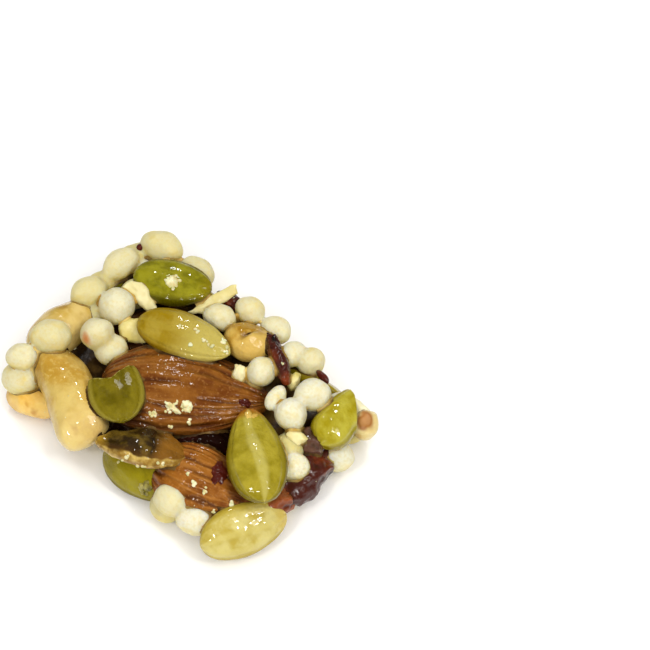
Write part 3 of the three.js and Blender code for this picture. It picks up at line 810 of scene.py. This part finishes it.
puffLook = {"Ball detail": 4, "Lump height": 0.75 * mm, "Lumps per mm": 0.24, "Dent depth": 0.26 * mm,
            "Grit height": 0.1 * mm, "Tray height": 0.06 * mm}
puffBed = {
    "slab": (42, 27), "size": 4.9, "squash": (1, 0.94, 0.9), "wander": 0.7, "spread": 0.12,
    "rowHeights": (2.4, 6.3), "rowSpacing": 5.0, "sunk": 1.2, "rowCrowding": 1.0, "rowDraw": 0,
    "bedHeight": 6.9, "bedSpacing": 4.7, "apart": 2.9, "bedCrowding": 1.8, "bedDraw": 500,
    "trayHeight": 2.0, "traySpacing": 4.9, "trayCrowding": 1.25, "trayDraw": 900,
    "nearest": 2.6, "voxel": 0.26, "smoothing": 2, "toneEdge": 12,
}
facePuffs = [  # x, y, z, length, width, turn, tone from tan to white, partly the puff's own colour and partly painted light: whiter where the light falls brighter
    (-19.8, 13.6, 9.4, 6.8, 4.7, 17, 0.3),
    (-22.0, 7.3, 9.0, 6.2, 4.3, 85, 0.45),
    (-21.6, 0.6, 9.1, 5.8, 4.6, 80, 0.25),
    (-16.5, 1.4, 9.6, 5.4, 5.3, 0, 0.75),
    (-19.3, -9.1, 10.2, 6.2, 5.0, 43, 0.4),
    (-14.8, -4.1, 10.1, 4.9, 4.8, 0, 0.55),
    (-12.4, -3.8, 8.0, 4.9, 4.6, 60, 0.6),
    (-20.5, -13.7, 8.9, 4.9, 4.0, 43, 0.6),
    (-19.9, -14.9, 5.3, 5.7, 5.0, 43, 0.55),
    (-13.2, 14.5, 7.8, 5.6, 4.8, 10, 0.35),
    (-4.1, 10.3, 9.6, 4.9, 4.0, 8, 0.6),
    (-2.0, 14.5, 9.0, 4.6, 4.1, 10, 0.5),
    (2.8, 14.8, 8.5, 4.8, 3.9, 5, 0.65),
    (7.8, 13.0, 9.0, 4.4, 3.6, 90, 0.7),
    (10.0, 14.5, 7.8, 4.4, 4.1, 90, 0.5),
    (6.9, 7.5, 9.6, 4.6, 4.3, 90, 0.75),
    (15.2, 9.5, 10.0, 5.3, 4.7, 43, 0.9),
    (11.6, 5.6, 10.0, 4.4, 2.5, 100, 0.85),
    (15.1, 5.1, 10.0, 4.7, 4.6, 0, 1.0),
    (22.0, 7.3, 3.7, 4.8, 4.6, 90, 1.0),
    (20.3, 0.1, 7.4, 4.4, 3.8, 60, 0.9),
    (10.9, -14.4, 5.7, 5.6, 4.7, 30, 0.55),
    (15.1, -14.2, 4.7, 5.6, 4.4, 40, 0.95),
    (-22.2, 10.9, 7.2, 5.6, 4.4, 60, 0.1),
    (-22.4, 3.9, 7.0, 5.6, 4.4, 82, 0.15),
    (9.8, -14.9, 3.0, 4.8, 4.4, 20, 0.2),
]
puffStain = {"at": (-14.8, -6.3, 11.0), "reach": 1.3, "core": 0.2, "strength": 0.8,  # coloured by a berry
             "ragged": 0.5, "raggedRate": 0.8}
kernelPlaces = {**almonds, **pumpkinSeeds, **nuts, **cranberries}


def hasRoom(ball, crowding):  # no kernel lies round or against the puff's middle
    for place in kernelPlaces.values():
        local = kernelMatrix(place).inverted() @ Vector(ball["at"])
        if sum((2 * v / s) ** 2 for v, s in zip(local, place["size"])) < crowding:
            return False
    return True


def ballAt(x, y, z, length, width, turn, tone=0.5):
    return {"at": (x, y, z), "size": (length, width, width), "turn": (0, 0, math.radians(turn)),
            "tone": tone}


def strayPuff(x, y, z, n):  # a bedded puff, a little out of line and out of size
    stray = [puffBed["wander"] * (draw(4 * n + k) - 0.5) for k in (1, 2, 3)]
    size = puffBed["size"] * (1 + puffBed["spread"] * (2 * draw(4 * n) - 1))
    angles = [2 * math.pi * draw(n + k) for k in (0.2, 0.4, 0.6)]
    return {"at": (x + stray[0], y + stray[1], z + stray[2]), "turn": angles, "tone": draw(n + 0.8),
            "size": [size * share for share in puffBed["squash"]]}


def sidePuffs():  # staggered rows round the four sides
    puffs = []
    length, width = puffBed["slab"]
    for side in range(4):
        angle = side * math.pi / 2
        run, across = (width, length) if side % 2 else (length, width)
        count = int(run // puffBed["rowSpacing"])
        for row, height in enumerate(puffBed["rowHeights"]):
            for i in range(count - row + 1):
                step = (i - (count - row) / 2) * puffBed["rowSpacing"]
                out = across / 2 - puffBed["sunk"]
                x = step * math.cos(angle) + out * math.sin(angle)
                y = step * math.sin(angle) - out * math.cos(angle)
                puffs.append(strayPuff(x, y, height, puffBed["rowDraw"] + 100 * side + 20 * row + i))
    return [puff for puff in puffs if hasRoom(puff, puffBed["rowCrowding"])]


def honeycomb(spacing):
    length, width = puffBed["slab"]
    pitch = spacing * math.sqrt(3) / 2
    rows, columns = int(width // pitch), int(length // spacing)
    for row in range(rows):
        for column in range(columns):
            x = (column - (columns - 1) / 2 + (0.25 if row % 2 else -0.25)) * spacing
            yield x, (row - (rows - 1) / 2) * pitch, 20 * row + column


def bedPuffs():  # seen deeper between the kernels of the broad face
    puffs = []
    for x, y, n in honeycomb(puffBed["bedSpacing"]):
        if min(math.hypot(p[0] - x, p[1] - y) for p in facePuffs) >= puffBed["apart"]:
            puffs.append(strayPuff(x, y, puffBed["bedHeight"], puffBed["bedDraw"] + n))
    return [puff for puff in puffs if hasRoom(puff, puffBed["bedCrowding"])]


def trayPuffs():  # pressed flat in the underside
    puffs = [strayPuff(x, y, puffBed["trayHeight"], puffBed["trayDraw"] + n)
             for x, y, n in honeycomb(puffBed["traySpacing"])]
    return [puff for puff in puffs if hasRoom(puff, puffBed["trayCrowding"])]


def withoutTwins(puffs):  # a puff that lies in an earlier one is left out
    kept = []
    for puff in puffs:
        if all(math.dist(puff["at"], other["at"]) > puffBed["nearest"] for other in kept):
            kept.append(puff)
    return kept


def drawSkin(piece, voxel, smoothing):  # one voxel skin over all that the piece holds, then smoothed
    remesh = piece.modifiers.new("oneSkin", "REMESH")
    remesh.mode = "VOXEL"
    remesh.voxel_size = voxel * mm
    smooth = piece.modifiers.new("soften", "SMOOTH")
    smooth.factor = 0.5
    smooth.iterations = smoothing


def keepSkin(piece, material):
    asPlainMesh(piece)
    piece.data.shade_smooth()
    piece.data.materials.clear()
    piece.data.materials.append(material)


def mergePuffs(piece, puffs, material):  # one skin over all of them, with each puff's tone
    drawSkin(piece, puffBed["voxel"], puffBed["smoothing"])
    keepSkin(piece, material)
    radii = np.array([sum(puff["size"]) / 6 for puff in puffs])
    tones = np.array([puff["tone"] for puff in puffs])
    points = meshPoints(piece.data)
    reach = np.stack([np.linalg.norm(points - puff["at"], axis=1) for puff in puffs], 1) / radii
    weight = np.exp(-puffBed["toneEdge"] * (reach - reach.min(1, keepdims=True)))
    addLayer(piece.data, "puffTone", (weight @ tones) / weight.sum(1))


# crumbs and fruit scraps that lie on the kernels, each set down where the photograph shows it


crumbLook = {"Ball detail": 2, "Lump height": 0.3 * mm, "Lumps per mm": 1.6, "Dent depth": 0.0,
             "Grit height": 0.1 * mm, "Tray height": 0.0}
grainShape = {"smallest": 0.7, "more": 0.6, "long": 1.3, "lift": 0.1, "spin": 6}
crumbGrains = {"grain": 0.4, "flat": 0.6}
speckGrains = {"grain": 0.6, "flat": 0.9}
crumbs = [  # pixel x, pixel y, length, width, tilt in the picture, grains
    (162.7, 281.5, 2.2, 1.7, 0, 12),
    (164.5, 288.0, 0.8, 0.6, 0, 3),
    (194.0, 340.0, 1.1, 0.4, -35, 4),
    (187.0, 331.0, 0.8, 0.3, -45, 3),
    (170.5, 325.0, 0.4, 0.3, 0, 2),
    (181.0, 344.5, 0.4, 0.3, 0, 2),
    (201.0, 345.5, 0.9, 0.5, -20, 4),
    (212.5, 341.0, 0.9, 0.9, 0, 6),
    (216.5, 350.0, 0.6, 1.2, 0, 5),
    (161.5, 407.5, 2.8, 1.0, 35, 8),
    (177.0, 406.5, 1.7, 1.8, 0, 8),
    (143.0, 414.0, 1.3, 0.8, 0, 4),
    (160.5, 427.5, 0.8, 0.5, 0, 2),
    (180.0, 422.0, 1.0, 0.8, 0, 3),
    (227.5, 366.0, 0.9, 0.7, 0, 3),
    (176.2, 474.6, 0.6, 0.5, 0, 2),
    (185.3, 484.6, 1.2, 0.9, -50, 4),
    (195.3, 490.5, 1.0, 0.8, 60, 4),
    (221.6, 504.0, 0.8, 0.6, 0, 3),
    (205.0, 512.0, 1.3, 0.8, 20, 4),
    (272.3, 364.3, 0.5, 0.4, 0, 2),
    (67.5, 347.5, 1.1, 0.4, 5, 3),
    (113.0, 459.5, 2.2, 0.3, 25, 5),
    (132.0, 466.0, 2.4, 0.3, 5, 6),
    (151.0, 463.5, 1.8, 0.3, -15, 4),
]
specks = [(134.5, 488.5, 1.5, 1.9, 0, 14)]
scrapLook = {"Ball detail": 3, "Lump height": 0.25 * mm, "Lumps per mm": 1.1, "Dent depth": 0.1 * mm,
             "Grit height": 0.1 * mm, "Tray height": 0.0}
looseScraps = [  # wedged between puffs: x, y, z, length, width, turn
    (-21.8, 11.7, 9.2, 1.8, 1.3, 60),
    (13.2, 13.6, 8.1, 2.8, 1.2, -12),
]
filmShape = {"sides": 30, "rings": 7, "ragged": 0.4, "edgeRate": 1.7, "edgeStep": 9.1, "fineShare": 0.5,
             "fineRate": 5, "fineStep": 4.3, "sunk": 0.15, "least": 0.55, "rough": 0.9, "roughRate": 1.6}
tipFilms = [
    ("pumpkin_seed_3_kernel", 238.5, 414.0, 1.2, 1.3, 0, 0.25),
    ("pumpkin_seed_3_kernel", 244.0, 416.0, 1.0, 0.7, -20, 0.2),
]
crumbFilms = [  # what it lies on, pixel x, pixel y, length, width, tilt in the picture, height
    ("pumpkin_seed_1_kernel", 162.7, 281.5, 2.2, 1.7, 0, 0.3),
    ("almond_1_skin", 161.5, 407.5, 2.8, 1.1, 35, 0.35),
    ("almond_1_skin", 177.0, 406.5, 1.7, 1.9, 0, 0.35),
    ("almond_1_skin", 143.0, 414.0, 1.3, 0.9, 0, 0.25),
]
scrapFilms = [
    ("almond_1_skin", 235.5, 403.0, 2.2, 1.2, 20, 0.3),
    ("almond_2_skin", 208.0, 474.0, 2.3, 4.0, 14, 0.25),
]


def tiltedBy(degrees, across, up):  # a step in the picture, turned by a row's tilt
    return Matrix.Rotation(-math.radians(degrees), 2) @ Vector((across, up))


def layOn(tree, rows, grain, flat):  # heaps of grains lying on what shows at their pixels
    balls = []
    scale = photoView["pixelsPerMm"]
    for n, (pixelX, pixelY, length, width, tilt, count) in enumerate(rows):
        for k in range(count):
            turn = 2 * math.pi * draw(17 * n + k)
            far = math.sqrt((k + 0.5) / count)
            off = tiltedBy(tilt, length / 2 * far * math.cos(turn), width / 2 * far * math.sin(turn))
            hit, normal = underPixel(tree, pixelX + off.x * scale, pixelY + off.y * scale)
            if hit is None:  # the pixel looks past the bar
                continue
            size = grain * (grainShape["smallest"] + grainShape["more"] * draw(31 * n + k))
            spin = Euler((0, 0, grainShape["spin"] * draw(n + 7 * k))).to_quaternion()
            upright = normal.to_track_quat("Z", "Y") @ spin
            balls.append({"at": tuple(hit + normal * size * grainShape["lift"]),
                          "size": (size * grainShape["long"], size, size * flat),
                          "turn": tuple(upright.to_euler()), "tone": draw(n + 0.3)})
    return balls


def filmPoints(tree, number, pixelX, pixelY, length, width, tilt, height):
    shape, scale = filmShape, photoView["pixelsPerMm"]
    waves = ((shape["ragged"], shape["edgeRate"], shape["edgeStep"] * number),
             (shape["fineShare"] * shape["ragged"], shape["fineRate"], shape["fineStep"] * number))
    middle, upward = underPixel(tree, pixelX, pixelY)
    points = [tuple(middle + upward * height)]
    for i in range(1, shape["rings"] + 1):
        share = i / shape["rings"]
        for j in range(shape["sides"]):
            turn = 2 * math.pi * j / shape["sides"]
            out = Vector((math.cos(turn), math.sin(turn)))
            edge = 1
            for swing, rate, level in waves:
                edge += swing * noise.noise((rate * out.x, rate * out.y, level))
            off = tiltedBy(tilt, out.x * length, out.y * width) * (share * edge / 2)
            hit, normal = underPixel(tree, pixelX + off.x * scale, pixelY - off.y * scale)
            if hit is None or (hit - middle).length > length + width:
                hit, normal = middle, upward
            rough = shape["least"] + shape["rough"] * abs(noise.noise(hit * shape["roughRate"]))
            lift = height * rough * (1 - share ** 3) - shape["sunk"] * (i == shape["rings"])
            points.append(tuple(hit + normal * lift))
    return points + [tuple(middle - upward * shape["sunk"] * 2)]


def filmPiece(name, pieces, rows, material):  # thin ragged patches that follow what they lie on
    rings = [face[:1] + face[:0:-1] for face in ringFaces(filmShape["sides"], filmShape["rings"])]
    points, faces = [], []
    for n, (under, *row) in enumerate(rows):
        tree = treeOf([piece for piece in pieces if piece.name == under])
        faces += shifted(rings, len(points))
        points += filmPoints(tree, n, *row)
    return makeObject(name, points, faces, None, material)


dust = {"count": 110, "seed": 5, "smallest": 0.1, "largest": 0.3, "long": 1.4, "flat": 0.8, "facing": 0.1,
        "clear": 0.05}
dustLook = {**crumbLook, "Ball detail": 1, "Lump height": 0.1 * mm, "Grit height": 0.08 * mm}


def dustBalls(pieces, tree):  # fine crumbs over every upper side that nothing else covers
    spread = np.random.default_rng(dust["seed"])
    centres, normals, areas = [], [], []
    for piece in pieces:
        count = len(piece.data.polygons)
        for key, width, store in (("center", 3, centres), ("normal", 3, normals), ("area", 1, areas)):
            values = np.zeros(count * width, np.float32)
            piece.data.polygons.foreach_get(key, values)
            store.append(values.reshape(count, width))
    centres, normals, areas = (np.concatenate(rows) for rows in (centres, normals, areas))
    weights = areas[:, 0] * (normals[:, 2] > dust["facing"])
    balls = []
    for index in spread.choice(len(weights), dust["count"], replace=False, p=weights / weights.sum()):
        centre, normal = Vector(centres[index].tolist()), Vector(normals[index].tolist())
        size = dust["smallest"] + (dust["largest"] - dust["smallest"]) * spread.random() ** 3
        turn = tuple(2 * math.pi * spread.random(3))
        if tree.ray_cast(centre + normal * dust["clear"] * mm, normal)[0] is None:
            balls.append({"at": tuple(centre / mm), "turn": turn, "tone": 0.5,
                          "size": (size * dust["long"], size, size * dust["flat"])})
    return balls


# flakes and slivers: plates with a drawn outline, leaning back against the puffs


flakeShape = {"sides": 72, "rings": 9, "roundness": 0.7, "ragged": 0.12, "raggedRate": 1.3, "bendRate": 0.5}
flakes = {  # each outline runs round the plate, in millimetres to the right and up
    "shell": {"at": (-14.8, 4.8, 10.4), "thick": 1.3, "tone": 0.4, "outline": (
        (-2.8, 1.4), (-2.2, 0.8), (-1.0, -0.2), (-0.3, -1.3), (0.8, -2.2), (2.1, -2.2), (2.3, -1.6),
        (1.6, -0.2), (1.1, 1.0), (0.2, 1.9), (-1.5, 2.2))},
    "sliver": {"at": (-6.8, 12.0, 9.5), "thick": 0.9, "tone": 0.3, "outline": (
        (-4.0, -1.7), (-3.4, -1.9), (-1.4, -1.9), (0.0, -1.0), (2.0, 0.1), (3.4, 1.1), (3.0, 1.9),
        (3.1, 2.4), (2.6, 2.4), (-0.6, 0.7), (-2.9, -1.0))},
    "lump": {"at": (-12.3, 0.4, 8.3), "thick": 2.2, "tone": 0.0, "outline": (
        (-2.1, 0.8), (-1.8, -0.6), (-0.6, -1.5), (1.5, -1.8), (2.8, -1.5), (2.0, -0.2), (1.4, 1.2),
        (0.9, 2.0), (-0.5, 2.0), (-1.7, 1.7))},
    "chip": {"at": (18.1, 2.8, 8.8), "thick": 1.6, "tone": 0.3, "outline": (
        (-1.1, 0.1), (-1.0, -0.9), (0.0, -1.3), (0.8, -0.4), (1.9, 0.3), (0.8, 1.3), (-0.9, 1.3),
        (-1.4, 1.0))},
    "crust": {"at": (4.6, 5.2, 9.6), "thick": 1.5, "tone": 0.5, "outline": (
        (-0.9, -0.3), (-0.4, -1.0), (0.4, -1.3), (1.0, -0.5), (1.0, 0.9), (0.3, 1.3), (-0.5, 1.0))},
    "nib": {"at": (10.9, 9.9, 8.7), "thick": 2.2, "tone": 0.1, "outline": (
        (-0.9, -0.6), (-0.3, -1.4), (0.5, -1.2), (1.0, 0.0), (1.1, 1.0), (0.4, 1.4), (-0.2, 0.9))},
    "paring": {"at": (19.3, 13.9, 7.9), "thick": 1.2, "tone": 0.7, "outline": (
        (-0.5, 0.7), (0.7, 0.0), (2.4, -1.7), (2.8, -3.3), (1.2, -3.2), (0.2, -2.2), (-0.2, -0.5))},
}
flakeLean = {"turn": 43, "roll": 35}


def platePoints(place, number):  # rings from the middle of one side, over the edge, to the other side
    shape = flakeShape
    corners = np.array(place["outline"] + place["outline"][:1])
    steps = np.concatenate(([0], np.cumsum(np.linalg.norm(np.diff(corners, axis=0), axis=1))))
    run = np.linspace(0, steps[-1], shape["sides"], endpoint=False)
    edge = np.stack([np.interp(run, steps, corners[:, 0]), np.interp(run, steps, corners[:, 1])], 1)
    middle = edge.mean(0)
    half = place["thick"] / 2
    points = [(*middle, -half)]
    for turn in np.linspace(0, math.pi, shape["rings"] * 2 + 1)[1:-1]:
        share, height = math.sin(turn) ** shape["roundness"], -math.cos(turn)
        points += [(*spot, height * half) for spot in middle + (edge - middle) * share]
    points = np.array(points + [(*middle, half)])
    points[:, 2] += shape["ragged"] * 2 * noiseAt(points, shape["bendRate"], number + 20)
    rough = np.stack([noiseAt(points, shape["raggedRate"], number + k) for k in (30, 40, 50)], 1)
    return points + shape["ragged"] * rough


def flakePiece(material):
    rings = ringFaces(flakeShape["sides"], flakeShape["rings"] * 2 - 1)
    points, faces, tones = [], [], []
    for number, place in enumerate(flakes.values()):
        faces += shifted(rings, len(tones))
        points.append(placePoints(platePoints(place, number), kernelMatrix({**place, **flakeLean})))
        tones += [place["tone"]] * len(points[-1])
    piece = makeObject("nut_flakes", np.concatenate(points), faces, {"flakeTone": tones}, material)
    return dress(piece, "crisp_puff", "crisp_mass")


# syrup: a skin drawn over everything, then smoothed, so that it stays only in the creases


square = ((-1, -1), (1, -1), (1, 1), (-1, 1))
syrupShape = {"voxel": 0.34, "smoothing": 8, "drawnIn": 0.16, "slab": (39, 24.5, 5.4), "keep": 0.5}


def slabPoints():  # a plain block that fills the inside
    x, y, z = syrupShape["slab"]
    corners = [(sx * x / 2, sy * y / 2, h) for h in (0, z) for sx, sy in square]
    return corners, [(3, 2, 1, 0), (4, 5, 6, 7), (0, 1, 5, 4), (1, 2, 6, 5), (2, 3, 7, 6), (3, 0, 4, 7)]


def joinedCopy(name, pieces):
    points, faces = slabPoints()
    points = [np.array(points, float)]
    for piece in pieces:
        faces += shifted(meshFaces(piece.data), sum(len(p) for p in points))
        points.append(meshPoints(piece.data))
    return makeObject(name, np.concatenate(points), faces)


def syrupPiece(pieces, material):
    syrup = joinedCopy("syrup", pieces)
    drawSkin(syrup, syrupShape["voxel"], syrupShape["smoothing"])
    drawn = syrup.modifiers.new("drawIn", "DISPLACE")
    drawn.strength = -syrupShape["drawnIn"] * mm
    drawn.mid_level = 0.0
    thin = syrup.modifiers.new("thin", "DECIMATE")
    thin.ratio = syrupShape["keep"]
    keepSkin(syrup, material)
    return dress(syrup, "crisp_puff", "crisp_mass")


openness = {"reach": 4.0, "lift": 0.25, "syrupRays": 14, "puffRays": 8, "almondRays": 10}
lowerSpan = (0.9, -0.3)  # from sides that face up to those that face down, for the painted shade on the puffs' undersides
paleSyrup = {"halfLength": 19.6, "halfWidth": 12, "sideFade": 2, "top": 8.0, "topFade": 1.4, "nearness": 0.6,
             "trayShare": 0.8, "trayFrom": 2.0, "trayTo": 0.4}


def noteOpenness(piece, tree, rays):  # share of the sky that each vertex sees
    directions = []
    for k in range(rays):  # an even spread over the half ball
        up = (k + 0.5) / rays
        turn = k * math.pi * (3 - math.sqrt(5))
        side = math.sqrt(1 - up * up)
        directions.append(Vector((side * math.cos(turn), side * math.sin(turn), up)))
    seen = []
    reach = openness["reach"] * mm
    for vertex in piece.data.vertices:
        normal = vertex.normal
        spin = Vector((0, 0, 1)).rotation_difference(normal)
        start = vertex.co + normal * (openness["lift"] * mm)
        hits = sum(tree.ray_cast(start, spin @ way, reach)[0] is not None for way in directions)
        seen.append(1 - hits / rays)
    addLayer(piece.data, "open", seen)


def noteUndersides(piece):  # the sides that face down, for painted shade, and the stain
    normals = np.zeros(len(piece.data.vertices) * 3, np.float32)
    piece.data.vertices.foreach_get("normal", normals)
    points = meshPoints(piece.data)
    away = np.linalg.norm(points - puffStain["at"], axis=1)
    away = away + puffStain["ragged"] * noiseAt(points, puffStain["raggedRate"], 6)
    addLayer(piece.data, "lower", smoothStep(*lowerSpan, normals[2::3]))
    stain = puffStain["strength"] * smoothStep(puffStain["reach"], puffStain["core"], away)
    addLayer(piece.data, "stain", stain)


def notePaleness(piece, paleTree, darkTree):  # how far the syrup belongs to the puffs at the outside
    toPale, toDark = (np.array([tree.find_nearest(vertex.co)[3] for vertex in piece.data.vertices]) / mm
                      for tree in (paleTree, darkTree))
    x, y, z = meshPoints(piece.data).T
    ends = (np.abs(x) - paleSyrup["halfLength"]) / paleSyrup["sideFade"]
    sides = (np.abs(y) - paleSyrup["halfWidth"]) / paleSyrup["sideFade"]
    outside = np.maximum(np.maximum(ends, sides), (z - paleSyrup["top"]) / paleSyrup["topFade"])
    pale = smoothStep(-paleSyrup["nearness"], paleSyrup["nearness"], toDark - toPale)
    pale = pale * smoothStep(0.0, 1.0, outside)
    tray = paleSyrup["trayShare"] * smoothStep(paleSyrup["trayFrom"], paleSyrup["trayTo"], z)
    addLayer(piece.data, "pale", np.maximum(pale, tray))


# make everything


almondFinish = almondSkin()
kernelPieces = [almondKernel(name, place, almondFinish) for name, place in almonds.items()]
seedFinishes = {look: seedSkin(look, colours) for look, colours in seedLooks.items()}
seedFinishes["toasted"] = toastedSeedSkin()
for number, (name, place) in enumerate(pumpkinSeeds.items(), 1):
    kernelPieces.append(seedKernel(name, place, seedFinishes[place["look"]], number))
nutFinishes = {look: nutFlesh(look, colours) for look, colours in nutLooks.items()}
for number, (name, place) in enumerate(nuts.items(), 1):
    kernelPieces.append(nutKernel(name, place, nutFinishes[place["look"]], number))
berryFinishes = {"red": cranberrySkin("cranberrySkin", "#0e0402", "#421a11", "#743216"),
                 "amber": cranberrySkin("cranberryAmber", "#4c1b0a", "#8c4822", "#b07442"),
                 # dusky: the berry's own grey-brown, darkened as painted shade for the shadow beside it
                 "dusky": cranberrySkin("cranberryDusky", "#180b07", "#543628", "#6e4e3e", 0.8),
                 # deep: near black, painted shade for berries that sit in dark gaps
                 "deep": cranberrySkin("cranberryPaintedShade", "#040100", "#160603", "#2a0a06", 0.15)}
for number, (name, place) in enumerate(cranberries.items(), 1):
    kernelPieces.append(cranberryKernel(name, place, berryFinishes[place["look"]], number))
print("kernels made:", len(kernelPieces))

balls = ballTree()
puffFinish = crispPuff()
allPuffs = withoutTwins([ballAt(*row) for row in facePuffs] + sidePuffs() + bedPuffs() + trayPuffs())
puffs = ballsOnPoints(balls, "crisp_puffs", allPuffs, {**puffLook, "Finish": puffFinish})
mergePuffs(puffs, allPuffs, puffFinish)
dress(puffs, "crisp_puff", "crisp_mass")
print("puffs made:", len(allPuffs), "faces:", len(puffs.data.polygons))

flakesPiece = flakePiece(flakeFlesh())
syrup = syrupPiece(kernelPieces + [puffs, flakesPiece], syrupSkin())
print("syrup made, faces:", len(syrup.data.polygons))

solids = treeOf(kernelPieces + [puffs, flakesPiece])
# the syrup's openness, for the painted shade that blackens it deep in the gaps
noteOpenness(syrup, solids, openness["syrupRays"])
notePaleness(syrup, treeOf([puffs, flakesPiece]), treeOf(kernelPieces))
# the puffs' openness, for the painted shade in their crevices
noteOpenness(puffs, solids, openness["puffRays"])
# openness on the almonds, for their painted contact shade
for piece in kernelPieces:
    if piece.name.startswith("almond"):
        noteOpenness(piece, solids, openness["almondRays"])
noteUndersides(puffs)
print("shaded crevices noted")



def strew(name, rows, look, finish, slotName):  # small balls that stand for no node
    return dress(ballsOnPoints(balls, name, rows, {**look, "Finish": finish}), slotName)


crumbFinish = crumbFlesh()
allCrumbs = layOn(solids, crumbs, **crumbGrains)
strew("crumbs", allCrumbs, crumbLook, crumbFinish, "crisp_puff")
dusty = [piece for piece in kernelPieces if not piece.name.startswith("pumpkin")]
allDust = dustBalls(dusty, solids)
strew("crumb_dust", allDust, dustLook, crumbFinish, "crisp_puff")
dress(filmPiece("crumb_films", kernelPieces, crumbFilms, crumbFinish), "crisp_puff")
allSpecks = layOn(solids, specks, **speckGrains)
strew("seed_specks", allSpecks, crumbLook, seedFinishes["speckled"], "pumpkin_seed")
dress(filmPiece("amber_films", kernelPieces, tipFilms, nutFinishes["toffee"]), "nut_flesh")
scrapFinish = cranberrySkin("cranberryScrap", "#3a0e06", "#56190d", "#743018")
allScraps = [ballAt(*row) for row in looseScraps]
strew("cranberry_scraps", allScraps, scrapLook, scrapFinish, "dried_cranberry")
dress(filmPiece("cranberry_smear", kernelPieces, scrapFilms, scrapFinish), "dried_cranberry")
print("crumbs laid:", len(allCrumbs), "dust laid:", len(allDust))


# camera, floor and light


lamps = {
    "key": {"at": (215, 56, 365), "size": 130, "power": 0.34, "tint": "#fffaf2"},
    "front": {"at": (50, -240, 340), "size": 40, "power": 0.3, "tint": "#fffaf2"},
    "back": {"at": (-190, 170, 330), "size": 40, "power": 0.24, "tint": "#ffffff"},
    "side": {"at": (260, 30, 300), "size": 40, "power": 0.26, "tint": "#ffffff"},
    "topFill": {"at": (-60, 40, 420), "size": 420, "power": 0.92, "tint": "#ffffff", "glossy": False},
    "frontFill": {"at": (170, -180, 300), "size": 380, "power": 0.96, "tint": "#ffffff", "glossy": False},
}


def addLamps():
    for name, lamp in lamps.items():
        data = bpy.data.lights.new(name, "AREA")
        data.size = lamp["size"] * mm
        data.energy = lamp["power"]
        data.color = paint(lamp["tint"])[:3]
        light = bpy.data.objects.new(name, data)
        light.location = Vector(lamp["at"]) * mm
        light.rotation_euler = (-light.location).to_track_quat("-Z", "Y").to_euler()
        light.visible_glossy = lamp.get("glossy", True)
        scene.collection.objects.link(light)


floorLook = {"reach": 2000, "patches": 0.02, "dark": "#f9f8f6", "light": "#fcfbfa", "roughness": 0.6}
sky = {"tint": "#ffffff", "strength": 0.1}


def addFloor():
    corners = [(x * floorLook["reach"], y * floorLook["reach"], 0) for x, y in square]
    shader = Shader("paleFloor")
    shader.ground(shader.grain(floorLook["patches"], 2), floorLook["dark"], floorLook["light"])
    material = shader.finish(Roughness=floorLook["roughness"])
    makeObject("floor", corners, [(0, 1, 2, 3)], None, material)


def addSky():
    world = bpy.data.worlds.new("softRoom")
    world.use_nodes = True
    background = world.node_tree.nodes["Background"]
    background.inputs["Color"].default_value = paint(sky["tint"])
    background.inputs["Strength"].default_value = sky["strength"]
    scene.world = world


photoCamera()
addLamps()
addFloor()
addSky()
scene.view_settings.view_transform = "Standard"
scene.view_settings.look = "None"

print("finished")
